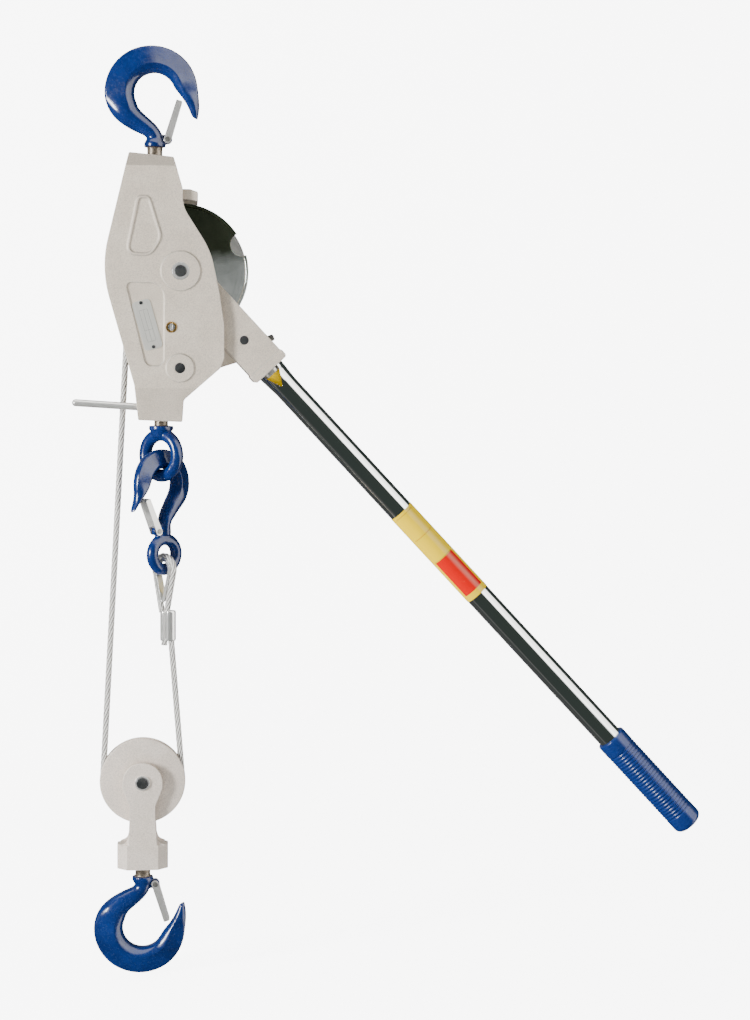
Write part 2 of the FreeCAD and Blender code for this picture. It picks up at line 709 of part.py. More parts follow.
def yoke():
    """Forked casting that swings on the drum shaft and holds the handle."""
    wide = size("yoke_half_width")
    end = size("yoke_length")
    outer = size("cheek_outer")
    inner = size("cheek_inner")
    points = [(-21, wide, 17), (-21, -wide, 17), (end, -wide, 3), (end, wide, 3)]
    solid = plate_y("yoke_solid", rounded(points), outer, 2 * outer)
    band = plate_y("yoke_band", rounded([
        (end - 9, -wide - 1.1, 2), (end, -wide - 1.1, 3), (end, wide + 1.1, 3),
        (end - 9, wide + 1.1, 2)]), outer + 1.1, 2 * outer + 2.2)
    slot = block("yoke_slot", (-40, -inner, -40), (YOKE_SLOT_END, inner, 40))
    shaft = pin_y("yoke_bore", 0, 0, BORE, -40, 40)
    pin = pin_y("yoke_pin_hole", size("drive_pin_reach"), 0, "$drive_pin_radius", -40, 40)
    socket = rod("yoke_socket", 14.4, end - SOCKET_START + 1, along_x(SOCKET_START))
    seat = rod("tongue_seat", STUB_RADIUS, 10, along_x(SOCKET_START - 7))
    roll = pin_y("yoke_roll_hole", ROLL_PIN_X, 0, ROLL_PIN_RADIUS, 0, 40)
    body = fuse("yoke_body", [solid, band])
    publish(cut("yoke", body, [slot, shaft, pin, socket, seat, roll]), "yoke", HANDLE)


def drive_pawl():
    """Pawl in the yoke with its thumb tail, drawn engaged and then lifted."""
    reach = size("drive_pin_reach")
    angle = -size("handle_angle")
    pin = polar(reach, angle)
    outline = pawl_outline(pin, -79.2, 8.0)
    beak = plate_y("drive_blank", rounded(outline), 17.5, 4.3)
    tail_points = [(-4, -6, 2), (6, -6, 3), (18, 17.5, 2), (14, 22, 2), (4, 9, 3), (-6, 6, 2)]
    tail = plate_y("drive_tail", rounded(tail_points), 17.5, 4.3)
    tab = plate_y("drive_tab", rounded([(12.5, 18.6, 1.5), (18.5, 17.3, 1.5), (20.5, 23, 2),
                                        (14, 25, 2)]), 17.5, 35.0)
    unlift = turned(Y_AXIS, size("pawl_lift"))
    tail.Placement = at(pin[0], pin[1]).multiply(unlift).multiply(
        turned(Y_AXIS, size("handle_angle")))
    tab.Placement = tail.Placement
    bore = pin_y("drive_bore", pin[0], pin[1], "$drive_pin_radius + $running_gap", 0, 20)
    pawl = cut("drive_pawl", fuse("drive_body", [beak, tail, tab]), [bore])
    publish(pawl, "drive_pawl", DRUM.multiply(lifted(pin)))
    outer = size("cheek_outer")
    publish(pin_y("drive_pin", reach, 0, "$drive_pin_radius", -outer - 0.4, outer + 0.4),
            "drive_pawl_pin", HANDLE)
    publish(coil_y("drive_coil", reach, 0, 5.7, 0.6, 5.2, 5), "drive_pawl_spring", HANDLE)


def handle_tube():
    """Chromed tube whose inner end is flared and split into two prongs."""
    start = size("tube_start")
    end = size("grip_end") - 8
    outer = size("tube_radius")
    bore = size("tube_bore")
    flare = 14.2
    profile = [
        (bore, end), (outer, end), (outer, 152), (flare, 131), (flare, start),
        (flare - 1.6, start), (flare - 1.6, 131), (bore, 152),
    ]
    lathe = along_x(0)
    tube = turned_part("tube_turned", profile, lathe)
    notch = plate_y("tube_notch", rounded([(start - 2, -9.5, 0), (start + 14, -9.5, 6),
                                           (NOTCH_END, -3.2, 1), (start + 14, 7.5, 6),
                                           (start - 2, 7.5, 0)]), 0, 30)
    roll = pin_y("tube_roll_hole", ROLL_PIN_X, 0, ROLL_PIN_RADIUS, 0, 40)
    publish(cut("handle_tube", tube, [notch, roll]), "handle_tube", HANDLE)


def tongue():
    """Steel stub fixed in the yoke, with the yellow cone that warns of overload."""
    stub_start = YOKE_SLOT_END + 0.2
    stub = rod("tongue_stub", STUB_RADIUS, STUB_END - stub_start, along_x(stub_start))
    roll = pin_y("tongue_roll_hole", ROLL_PIN_X, 0, ROLL_PIN_RADIUS, 0, 40)
    bore = rod("tongue_bore", 3.0, 12, along_x(STUB_END - 6.8))
    publish(cut("handle_tongue", stub, [roll, bore]), "handle_tongue", HANDLE)
    tip = NOTCH_END + 2
    cone = turned_part("cone_turned", [(0, STUB_END - 6), (3.0, STUB_END - 6), (3.0, STUB_END),
                                       (9.4, STUB_END), (3.2, tip), (0, tip)], along_x(0))
    publish(cone, "overload_cone", HANDLE)
    pin = pin_y("roll_pin", ROLL_PIN_X, 0, ROLL_PIN_RADIUS, 0, size("cheek_outer"))
    publish(pin, "handle_roll_pin", HANDLE)


def grip():
    """Rubber grip with ribs, blind at its outer end."""
    start = size("grip_start")
    end = size("grip_end")
    outer = size("grip_radius")
    valley = outer - 0.9
    pitch = 3.6
    profile = [(0, end), (outer - 5, end), (outer, end - 6), (outer, end - 16)]
    ribs = int((end - 16 - start - 15) / pitch)
    for k in range(ribs):
        top = end - 16 - k * pitch
        profile.append((valley, top - 0.9))
        profile.append((valley, top - 1.9))
        profile.append((outer, top - 2.8))
        profile.append((outer, top - pitch))
    profile.append((outer, start))
    inside = size("tube_radius") + 0.05
    profile.extend([(inside, start), (inside, end - 7.5), (0, end - 7.5)])
    publish(turned_part("grip_turned", profile, along_x(0)), "handle_grip", HANDLE)


def label():
    """Thin label sleeve round the handle tube."""
    start = size("label_start")
    length = size("label_end") - start
    sleeve = rod("label_out", "$tube_radius + 0.35", length, along_x(start))
    bore = rod("label_in", "$tube_radius + 0.05", length + 2, along_x(start - 1))
    publish(cut("handle_label", sleeve, [bore]), "handle_label", HANDLE)


# ---------------------------------------------------------------- hooks

# Angle about the bowl, inner and outer radius, half thickness along Y.
BOWL_SECTIONS = [
    (-31, 42.5, 48.5, 3.2), (-25, 37.0, 47.0, 5.0), (-14, 30.0, 44.6, 7.0),
    (2, 23.0, 42.4, 8.6), (24, 19.3, 43.0, 10.0), (50, 19.2, 44.6, 11.0),
    (90, 19.3, 46.2, 11.5), (135, 19.4, 48.2, 11.5), (180, 19.5, 48.8, 11.5),
    (208, 19.9, 46.4, 11.0), (232, 21.6, 42.6, 9.8),
]
NECK = [((-8.6, -33.0), 222, 8.8, 8.8), ((-2.6, -38.2), 202, 8.1, 8.1),
        ((0, -44.0), 180, 8.0, 8.0)]


def ellipse_wire(centre, angle, half_width, half_depth):
    """An ellipse across the bar of a hook drawn in the XZ plane."""
    across = Vec(math.cos(math.radians(angle)), 0, math.sin(math.radians(angle)))
    turn = FreeCAD.Rotation(across, Y_AXIS, across.cross(Y_AXIS), "ZXY")
    place = FreeCAD.Placement(Vec(centre[0], 0, centre[1]), turn)
    stretch = FreeCAD.Matrix()
    stretch.scale(Vec(half_width, half_depth, 1))
    circle_wire = Part.Wire(Part.makeCircle(1.0))
    return circle_wire.transformGeometry(place.toMatrix().multiply(stretch))


def hook_bar(sections, neck, scale=1.0):
    """Lofted bar of a hook from its tip round the bowl to its neck."""
    wires = []
    for angle, inner, outer, depth in sections:
        centre = polar((inner + outer) / 2 * scale, angle)
        wires.append(ellipse_wire(centre, angle, (outer - inner) / 2 * scale, depth * scale))
    for centre, angle, width, depth in neck:
        place = (centre[0] * scale, centre[1] * scale)
        wires.append(ellipse_wire(place, angle, width * scale, depth * scale))
    return Part.makeLoft(wires, True, False)


LATCH_PIVOT = (12.4, -44.3)
LATCH_TIP = (23.6, -6.5)
LUG_HALF = 2.4


def swivel_hook(name, label, shank_end, place):
    """Forged hook with a shank, a collar and a drilled latch lug."""
    bar = doc.addObject("Part::Feature", name + "_bar")
    bar.Shape = hook_bar(BOWL_SECTIONS, NECK)
    shank = post_z(name + "_shank", 0, 0, "$shank_radius", -shank_end, -43.0)
    collar = post_z(name + "_collar", 0, 0, 10.4, -52.0, -48.0)
    skirt = cone_z(name + "_skirt", 0, -48.0, -44.0, 10.4, 8.0)
    lug = fuse(name + "_lug", [
        pin_y(name + "_lug_round", LATCH_PIVOT[0], LATCH_PIVOT[1], 4.6, -LUG_HALF, LUG_HALF),
        block(name + "_lug_web", (0, -LUG_HALF, LATCH_PIVOT[1] - 4.6),
              (LATCH_PIVOT[0], LUG_HALF, LATCH_PIVOT[1] + 4.6)),
    ])
    drill = pin_y(name + "_lug_hole", LATCH_PIVOT[0], LATCH_PIVOT[1], 1.75, -6, 6)
    seat = pin_y(name + "_seat", 0, 0, "$bowl_land_radius", -20, 20)
    body = fuse(name + "_body", [bar, shank, collar, skirt, lug])
    publish(cut(name + "_hook", body, [drill, seat]), label, place)


def latch(name, prefix, pivot, tip, place):
    """Sprung latch: a pressed channel, its pin and its torsion spring."""
    dx, dz = tip[0] - pivot[0], tip[1] - pivot[1]
    length = math.hypot(dx, dz)
    turn = turned(Y_AXIS, -math.degrees(math.atan2(dz, dx)))
    local = place.multiply(at(pivot[0], pivot[1])).multiply(turn)
    half = LUG_HALF + 3.15
    sheet_gap = half - 1.0
    outer = plate_y(name + "_outer", rounded([(-4.0, -3.6, 3.4), (length, -3.4, 1),
                                              (length, 2.6, 1), (-4.0, 3.8, 3.4)]),
                    half, 2 * half)
    trough = block(name + "_trough", (-6, -sheet_gap, -2.2), (length - 1.2, sheet_gap, 8))
    root = block(name + "_root", (-6, -sheet_gap, -8), (7.5, sheet_gap, 8))
    hole = pin_y(name + "_pin_hole", 0, 0, 1.5, -12, 12)
    publish(cut(name + "_channel", outer, [trough, root, hole]), prefix + "_latch", local)
    pin = pin_y(name + "_pin_bar", 0, 0, 1.5, -half - 0.2, half + 0.2)
    heads = [
        pin_y(name + "_pin_head0", 0, 0, 2.6, -half - 1.0, -half - 0.1),
        pin_y(name + "_pin_head1", 0, 0, 2.6, half + 0.1, half + 1.0),
    ]
    publish(fuse(name + "_pin", [pin] + heads), prefix + "_latch_pin", local)
    coil = coil_y(name + "_coil", 0, 0, 2.4, 0.3, LUG_HALF + 0.45, 2.0)
    publish(coil, prefix + "_latch_spring", local)


def top_hook_nut():
    """Nut that holds the top hook's shank inside the frame."""
    low = size("top_block_low")
    publish(nut_z("top_nut", TOP_AXIS, 11.0, "$shank_radius", low - 13.5, 11.8),
            "top_hook_nut")


# ---------------------------------------------------------------- swivel eye and cable hook

def swivel_eye():
    """Eye below the frame: a round ring with a collar and a shank, and its nut."""
    centre = size("eye_z")
    ring = torus_y("eye_ring", 0, 0, 0, "$ring_radius", "$ring_bar")
    collar = post_z("eye_collar", 0, 0, 12.0, -154.6 - centre, -150.6 - centre)
    shoulder = cone_z("eye_shoulder", 0, -162.0 - centre, -154.6 - centre, 8.5, 11.0)
    shank = post_z("eye_shank", 0, 0, EYE_SHANK, -160 - centre, -112 - centre)
    publish(fuse("eye_body", [ring, collar, shoulder, shank]), "swivel_eye", EYE)
    high = size("low_block_high")
    x = size("eye_x")
    publish(nut_z("eye_nut", x, 10.5, EYE_SHANK, high + 1.7, 9.0), "swivel_eye_nut")


CABLE_BOWL = (-19.0, -207.0)
CABLE_EYE = (3.9, -71.0)
# The cable hook opens to its left, so its bar runs the other way round.
CABLE_SECTIONS = [
    (217, 40.9, 46.9, 3.0), (212, 32.7, 42.3, 4.8), (205, 23.9, 37.1, 6.4),
    (194, 18.0, 34.0, 7.8), (175, 14.8, 33.0, 8.6), (135, 14.0, 33.4, 9.2),
    (90, 14.0, 33.4, 9.2), (45, 13.8, 33.6, 9.6), (0, 13.7, 33.7, 10.0),
    (-28, 14.2, 33.8, 9.8), (-50, 15.6, 34.0, 9.4),
]
CABLE_NECK = [((9.6, -28.0), -42, 8.0, 8.6), ((5.2, -35.5), -22, 6.9, 7.8),
              ((3.9, -44.0), -3, 6.4, 7.0), ((3.9, -52.0), 0, 6.2, 6.6)]
CABLE_LATCH_PIVOT = (-6.6, -47.6)
CABLE_LATCH_TIP = (-20.5, -15.5)


def cable_hook():
    """Eye hook on the rope's end, hung on the swivel eye."""
    place = DRUM.multiply(at(CABLE_BOWL[0], CABLE_BOWL[1])).multiply(
        turned(Z_AXIS, size("cable_hook_turn")))
    bar = doc.addObject("Part::Feature", "cable_bar")
    bar.Shape = hook_bar(CABLE_SECTIONS, CABLE_NECK)
    ring = torus_y("cable_ring", CABLE_EYE[0], CABLE_EYE[1], 0, 15.0, 5.9)
    lug = fuse("cable_lug", [
        pin_y("cable_lug_round", CABLE_LATCH_PIVOT[0], CABLE_LATCH_PIVOT[1], 4.2,
              -LUG_HALF, LUG_HALF),
        block("cable_lug_web", (CABLE_LATCH_PIVOT[0], -LUG_HALF, CABLE_LATCH_PIVOT[1] - 5.6),
              (2, LUG_HALF, CABLE_LATCH_PIVOT[1] + 4.2)),
    ])
    drill = pin_y("cable_lug_hole", CABLE_LATCH_PIVOT[0], CABLE_LATCH_PIVOT[1], 1.75, -6, 6)
    body = fuse("cable_body", [bar, ring, lug])
    publish(cut("cable_hook_cut", body, [drill]), "cable_hook", place)
    mirror = place.multiply(turned(Z_AXIS, 180))
    pivot = (-CABLE_LATCH_PIVOT[0], CABLE_LATCH_PIVOT[1])
    tip = (-CABLE_LATCH_TIP[0], CABLE_LATCH_TIP[1])
    latch("cable", "cable_hook", pivot, tip, mirror)


LOOP_X = -15.9
LOOP_Y = 1.7
LOOP_Z = -292.6
LOOP_TURN = -45.0
FERRULE_X = -12.3
FERRULE_Y = 0.9
FERRULE_HIGH = -334.0
FERRULE_LOW = -364.0
RIGHT_RUN_TOP = FERRULE_LOW - 0.3


def loop_path(radius, foot, drop):
    """Two legs and an arc: a rope eye drawn in the XZ plane about its arc centre."""
    span = math.hypot(foot, drop)
    lean = math.atan2(foot, drop)
    leg = math.acos(radius / span)
    touch = leg - lean
    tangent = Vec(radius * math.sin(touch), 0, -radius * math.cos(touch))
    mirror = Vec(-tangent.x, 0, tangent.z)
    first = Part.makeLine(Vec(-foot, 0, -drop), mirror)
    over = Part.Arc(mirror, Vec(0, 0, radius), tangent).toShape()
    last = Part.makeLine(tangent, Vec(foot, 0, -drop))
    return Part.Wire([first, over, last])


def rope_end():
    """Spliced eye: thimble, rope loop and swaged ferrule."""
    place = DRUM.multiply(at(LOOP_X, LOOP_Z, LOOP_Y)).multiply(turned(Z_AXIS, LOOP_TURN))
    drop = LOOP_Z - FERRULE_HIGH
    rope = size("rope_radius")
    loop = sweep_bar("rope_loop_bar", loop_path(12.0, 3.3, drop - 2.0), rope)
    publish(loop, "rope_eye_loop", place)
    path = loop_path(8.4, 0.8, drop - 12)
    start = path.Edges[0].valueAt(path.Edges[0].FirstParameter)
    heading = path.Edges[0].tangentAt(path.Edges[0].FirstParameter)
    side = heading.cross(Y_AXIS)
    corners = [start + Y_AXIS * y + side * s for y, s in
               ((-2.9, -0.35), (2.9, -0.35), (2.9, 0.35), (-2.9, 0.35))]
    band = Part.makePolygon(corners + [corners[0]])
    thimble = doc.addObject("Part::Feature", "thimble_band")
    thimble.Shape = path.makePipeShell([band], True, True)
    publish(thimble, "thimble", place)
    half_w, half_d = 7.8, 5.2
    points = [(half_w, -half_d, 5), (half_w, half_d, 5), (-half_w, half_d, 5),
              (-half_w, -half_d, 5)]
    sleeve = prism_z("ferrule_sleeve", rounded(points), FERRULE_LOW, FERRULE_HIGH - FERRULE_LOW)
    sleeve.Placement = at(FERRULE_X, 0, FERRULE_Y)
    publish(sleeve, "ferrule")


# ---------------------------------------------------------------- rope runs and lower block

def tangent_angle():
    """Angle, from +X, of the point where the left run leaves the drum."""
    dx, dz = size("block_x"), size("block_z")
    span = math.hypot(dx, dz)
    lean = math.degrees(math.atan2(-dx, -dz))
    change = math.degrees(math.asin((winding_radius() - size("sheave_rope_radius")) / span))
    return 180 - lean + change


def right_touch():
    """Angle, about the sheave, of the point where the right run arrives."""
    dx = FERRULE_X + 3.2 - size("block_x")
    dz = RIGHT_RUN_TOP - size("block_z")
    span = math.hypot(dx, dz)
    return math.degrees(math.atan2(dz, dx)) - math.degrees(
        math.acos(size("sheave_rope_radius") / span))


def straight_rope(name, label, start, end):
    heading = FreeCAD.Rotation(Z_AXIS, end - start)
    bar = rod(name, "$rope_radius", (end - start).Length, FreeCAD.Placement(start, heading))
    publish(bar, label)


def rope_runs():
    """The two straight runs and the half turn under the sheave."""
    angle = tangent_angle()
    left_high = polar(winding_radius(), angle)
    left_low = polar(size("sheave_rope_radius"), angle)
    bx, bz = size("block_x"), size("block_z")
    straight_rope("left_run", "rope_left_run", Vec(left_low[0] + bx, 0, left_low[1] + bz),
                  Vec(left_high[0], 0, left_high[1]))
    touch = right_touch()
    right_low = polar(size("sheave_rope_radius"), touch)
    straight_rope("right_run", "rope_right_run", Vec(right_low[0] + bx, 0, right_low[1] + bz),
                  Vec(FERRULE_X + 3.2, 0, RIGHT_RUN_TOP))
    wrap = torus_y("sheave_wrap", 0, 0, 0, "$sheave_rope_radius", "$rope_radius", angle,
                   touch + 360 - angle)
    publish(wrap, "rope_sheave_wrap", BLOCK)


def sheave():
    """Grooved sheave with its bush and pin."""
    rim = size("sheave_radius")
    half = size("sheave_half")
    groove = size("sheave_rope_radius") - size("rope_radius") - 0.1
    profile = [
        (9.05, -half), (14, -half), (14, -half + 1.5), (30, -half + 1.5), (30, -half),
        (rim, -half), (rim, -half + 1.2), (groove + 1.2, -3.4), (groove, -2.2),
        (groove, 2.2), (groove + 1.2, 3.4), (rim, half - 1.2), (rim, half),
        (30, half), (30, half - 1.5), (14, half - 1.5), (14, half), (9.05, half),
    ]
    publish(turned_part("sheave_turned", profile, along_rear()), "sheave", BLOCK)
    publish(ring_y("sheave_bush", 0, 0, 9.0, 5.75, -half - 1.2, half + 1.2), "sheave_bush",
            BLOCK)
    arm = size("arm_outer")
    pin = pin_y("sheave_pin_bar", 0, 0, 5.7, -arm - 2.4, arm + 2.4)
    publish(pin, "sheave_pin", BLOCK)
    rings = [
        ring_y("pin_ring0", 0, 0, 7.4, 5.7, -arm - 1.7, -arm - 0.05),
        ring_y("pin_ring1", 0, 0, 7.4, 5.7, arm + 0.05, arm + 1.7),
    ]
    publish(group("sheave_pin_rings", rings), "sheave_pin_rings", BLOCK)


def block_clevis():
    """Lower block: an octagonal foot and two arms that hold the sheave pin."""
    low = size("block_low") - size("block_z")
    high = size("block_high") - size("block_z")
    outer = size("arm_outer")
    inner = size("arm_inner")
    half = size("block_half")
    face = 15.5
    corner = outer - half + face
    corners = []
    for x, y in ((half, -corner), (half, corner), (face, outer), (-face, outer),
                 (-half, corner), (-half, -corner), (-face, -outer), (face, -outer)):
        corners.append((x, y, 0))
    foot = prism_z("foot", rounded(corners), low, high - low)
    arm_points = [
        (-face, low, 0), (face, low, 0), (12.3, -24.0, 20), (19.7, -6.0, 12),
        (19.7, 19.7, 19.6), (-19.7, 19.7, 19.6), (-19.7, -6.0, 12), (-12.3, -24.0, 20),
    ]
    arms = plate_y("arms", rounded(arm_points), outer, 2 * outer)
    gusset_points = [
        (-22.0, high - 1, 0), (22.0, high - 1, 0), (22.0, high, 0), (15.8, high + 2.5, 6),
        (13.0, high + 12, 0), (-13.0, high + 12, 0), (-15.8, high + 2.5, 6), (-22.0, high, 0),
    ]
    gussets = plate_y("gussets", rounded(gusset_points), outer - 3, 2 * (outer - 3))
    gap = block("arm_gap", (-60, -inner, high), (60, inner, 40))
    pin = pin_y("clevis_pin_hole", 0, 0, 5.7, -40, 40)
    shank = post_z("clevis_shank_hole", 0, 0, HOOK_HOLE, low - 1, high + 1)
    recess = post_z("clevis_recess", 0, 0, 12.3, high - 14, high + 1)
    body = fuse("clevis_body", [foot, arms, gussets])
    publish(cut("block_clevis", body, [gap, pin, shank, recess]), "block_clevis", BLOCK)
    publish(nut_z("low_nut", 0, 10.4, "$shank_radius", high - 12.2, 10.5), "bottom_hook_nut",
            BLOCK)


# ---------------------------------------------------------------- build

front_frame()
rear_frame()
stop_block()
frame_screws()
name_plate()
drag_parts()
shaft_parts()
front_disc()
drum_core()
ratchet_wheel()
drum_rivets()
hub_spacers()
rope_on_drum()
holding_pawl()
reversing_lever()
yoke()
drive_pawl()
handle_tube()
tongue()
grip()
label()
top_hook_nut()
swivel_hook("top", "top_hook", 98.0, TOP_HOOK)
latch("top_latch", "top_hook", LATCH_PIVOT, LATCH_TIP, TOP_HOOK)
swivel_eye()
cable_hook()
rope_end()
rope_runs()
sheave()
block_clevis()
swivel_hook("low", "bottom_hook", 84.0, LOW_HOOK)
latch("low_latch", "bottom_hook", LATCH_PIVOT, LATCH_TIP, LOW_HOOK)

doc.recompute()
failed = [obj.Name for obj in doc.Objects if {"Invalid", "Error"} & set(obj.State)]
if failed:
    raise RuntimeError("objects that failed: " + ", ".join(failed))
for node in nodes:
    if node.Shape.isNull() or not node.Shape.isValid() or not node.Shape.Solids:
        raise RuntimeError("bad shape: " + node.Label)
os.makedirs("parts", exist_ok=True)
for node in nodes:
    node.Shape.exportStep("parts/%s.step" % node.Label)
print("%d sub-parts written" % len(nodes))
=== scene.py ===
"""Looks of the cable ratchet lever hoist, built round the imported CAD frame."""

import json
import math

import bmesh
import bpy
import numpy as np
from mathutils import Matrix, Vector, noise


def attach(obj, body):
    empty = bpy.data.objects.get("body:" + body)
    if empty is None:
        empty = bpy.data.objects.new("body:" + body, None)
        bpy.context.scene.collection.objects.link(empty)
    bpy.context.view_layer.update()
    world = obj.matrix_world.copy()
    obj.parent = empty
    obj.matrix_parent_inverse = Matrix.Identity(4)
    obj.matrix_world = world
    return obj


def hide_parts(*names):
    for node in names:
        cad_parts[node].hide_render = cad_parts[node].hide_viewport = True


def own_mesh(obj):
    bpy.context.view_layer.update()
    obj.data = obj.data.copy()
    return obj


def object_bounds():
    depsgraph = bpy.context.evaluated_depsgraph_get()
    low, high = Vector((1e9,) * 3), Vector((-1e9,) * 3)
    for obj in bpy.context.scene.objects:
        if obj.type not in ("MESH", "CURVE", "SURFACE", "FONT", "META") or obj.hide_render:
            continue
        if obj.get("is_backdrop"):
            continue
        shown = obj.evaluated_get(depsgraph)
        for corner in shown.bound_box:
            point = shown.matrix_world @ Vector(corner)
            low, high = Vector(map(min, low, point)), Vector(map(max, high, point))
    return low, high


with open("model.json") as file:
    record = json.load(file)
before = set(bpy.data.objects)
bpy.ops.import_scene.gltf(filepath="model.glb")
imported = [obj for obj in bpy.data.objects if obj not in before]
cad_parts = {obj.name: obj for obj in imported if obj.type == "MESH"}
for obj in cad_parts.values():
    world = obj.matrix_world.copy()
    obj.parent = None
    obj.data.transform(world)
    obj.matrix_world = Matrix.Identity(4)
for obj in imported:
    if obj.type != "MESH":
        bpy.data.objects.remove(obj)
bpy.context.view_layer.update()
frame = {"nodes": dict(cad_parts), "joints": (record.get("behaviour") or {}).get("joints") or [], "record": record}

MM = 0.001
JOINTS = {joint["name"]: joint for joint in frame["joints"]}
DRUM = Vector(JOINTS["drum_spin"]["pos_m"])
SHEAVE = Vector(JOINTS["sheave_spin"]["pos_m"])

HANDLE_TILT = math.radians(46.9)
HANDLE = Matrix.Translation(DRUM) @ Matrix.Rotation(HANDLE_TILT, 4, "Y")
UPRIGHT = Vector((0, 0, 1))
DEPTH = Vector((0, 1, 0))


# ------------------------------------------------------------------ shaders

class Look:
    """A node material, with short calls for the nodes it is made of."""

    def __init__(self, name, metallic=0.0, roughness=0.5):
        self.material = bpy.data.materials.new(name)
        self.material.use_nodes = True
        self.tree = self.material.node_tree
        self.shader = self.tree.nodes["Principled BSDF"]
        self.set(self.shader, "Metallic", metallic)
        self.set(self.shader, "Roughness", roughness)
        self.place = self.node("ShaderNodeTexCoord").outputs["Object"]

    def node(self, kind, **options):
        made = self.tree.nodes.new(kind)
        for key, value in options.items():
            setattr(made, key, value)
        return made

    def set(self, node, key, value):
        """Give an input a number, a colour or another node's output."""
        if isinstance(value, bpy.types.NodeSocket):
            self.tree.links.new(value, node.inputs[key])
        elif isinstance(value, (tuple, list)) and len(value) == 3 and node.inputs[key].type == "RGBA":
            node.inputs[key].default_value = (*value, 1.0)
        else:
            node.inputs[key].default_value = value

    def moved(self, turn=(0, 0, 0), scale=(1, 1, 1), centre=(0, 0, 0), source=None):
        """The coordinates about a centre, turned and then stretched."""
        shift = self.node("ShaderNodeVectorMath", operation="SUBTRACT")
        self.set(shift, 0, source or self.place)
        self.set(shift, 1, tuple(centre))
        spin = self.node("ShaderNodeVectorRotate", rotation_type="EULER_XYZ")
        self.set(spin, "Vector", shift.outputs[0])
        self.set(spin, "Rotation", turn)
        stretch = self.node("ShaderNodeVectorMath", operation="MULTIPLY")
        self.set(stretch, 0, spin.outputs[0])
        self.set(stretch, 1, tuple(scale))
        return stretch.outputs[0]

    def noise(self, scale, detail=3.0, rough=0.5, warp=0.0, source=None):
        made = self.node("ShaderNodeTexNoise")
        self.set(made, "Vector", source or self.place)
        self.set(made, "Scale", scale)
        self.set(made, "Detail", detail)
        self.set(made, "Roughness", rough)
        self.set(made, "Distortion", warp)
        return made.outputs[0]

    def remap(self, value, low, high, out_low=0.0, out_high=1.0):
        made = self.node("ShaderNodeMapRange")
        for key, number in zip(range(5), (value, low, high, out_low, out_high)):
            self.set(made, key, number)
        return made.outputs[0]

    def math(self, operation, first, second=0.0):
        made = self.node("ShaderNodeMath", operation=operation)
        self.set(made, 0, first)
        self.set(made, 1, second)
        return made.outputs[0]

    def mix(self, share, first, second):
        made = self.node("ShaderNodeMix", data_type="RGBA")
        self.set(made, 0, share)
        self.set(made, 6, first)
        self.set(made, 7, second)
        return made.outputs[2]

    def split(self, vector):
        made = self.node("ShaderNodeSeparateXYZ")
        self.set(made, 0, vector)
        return made.outputs

    def bump(self, height, distance, strength=1.0, under=None):
        made = self.node("ShaderNodeBump")
        self.set(made, "Height", height)
        self.set(made, "Distance", distance)
        self.set(made, "Strength", strength)
        if under:
            self.set(made, "Normal", under)
        return made.outputs[0]

    def edges(self, radius, sharp=0.02, full=0.2):
        """1 on the rim of hard edges and 0 on flat faces."""
        soft = self.node("ShaderNodeBevel", samples=4)
        self.set(soft, "Radius", radius)
        face = self.node("ShaderNodeNewGeometry")
        dot = self.node("ShaderNodeVectorMath", operation="DOT_PRODUCT")
        self.set(dot, 0, soft.outputs[0])
        self.set(dot, 1, face.outputs["Normal"])
        turned = self.math("SUBTRACT", 1.0, dot.outputs["Value"])
        return self.remap(turned, sharp, full)

    def band(self, value, low, high):
        """1 where a value lies between two limits."""
        above = self.math("GREATER_THAN", value, low)
        below = self.math("LESS_THAN", value, high)
        return self.math("MULTIPLY", above, below)

    def finish(self, **inputs):
        for key, value in inputs.items():
            self.set(self.shader, key.replace("_", " "), value)
        return self.material


def blue_paint(name, shank_low=0.0, shank_high=0.0):
    """Gloss enamel over a forging, with the shank left bare between two heights."""
    look = Look(name)
    lumps = look.noise(150, 3, 0.55, 0.3)
    peel = look.noise(1100, 2, 0.5)
    tint = look.mix(look.remap(look.noise(45), 0.35, 0.65),
                    (0.0012, 0.017, 0.112), (0.0022, 0.027, 0.165))
    # Paler blue on the edges: partly worn paint, partly painted glints.
    rub_and_glint = look.math("MULTIPLY", look.edges(0.8 * MM, 0.03, 0.3),
                    look.remap(look.noise(420, 4, 0.7), 0.52, 0.62))
    painted = look.mix(look.math("MULTIPLY", rub_and_glint, 0.35), tint, (0.10, 0.15, 0.28))
    bare = look.band(look.split(look.place)[2], shank_low, shank_high)
    scale = look.mix(look.remap(look.noise(420, 4, 0.65), 0.35, 0.65),
                     (0.11, 0.085, 0.06), (0.34, 0.29, 0.23))
    colour = look.mix(bare, painted, scale)
    rough = look.math("ADD", look.remap(look.noise(260, 4, 0.6), 0.3, 0.7, 0.17, 0.33),
                      look.math("MULTIPLY", bare, 0.15))
    metal = look.math("MULTIPLY", bare, 0.7)
    gloss = look.math("SUBTRACT", 0.5, look.math("MULTIPLY", bare, 0.5))
    normal = look.bump(peel, 0.03 * MM, 0.6, look.bump(lumps, 0.45 * MM, 0.5))
    return look.finish(Base_Color=colour, Roughness=rough, Normal=normal, Metallic=metal,
                       Coat_Weight=gloss, Coat_Roughness=0.1)


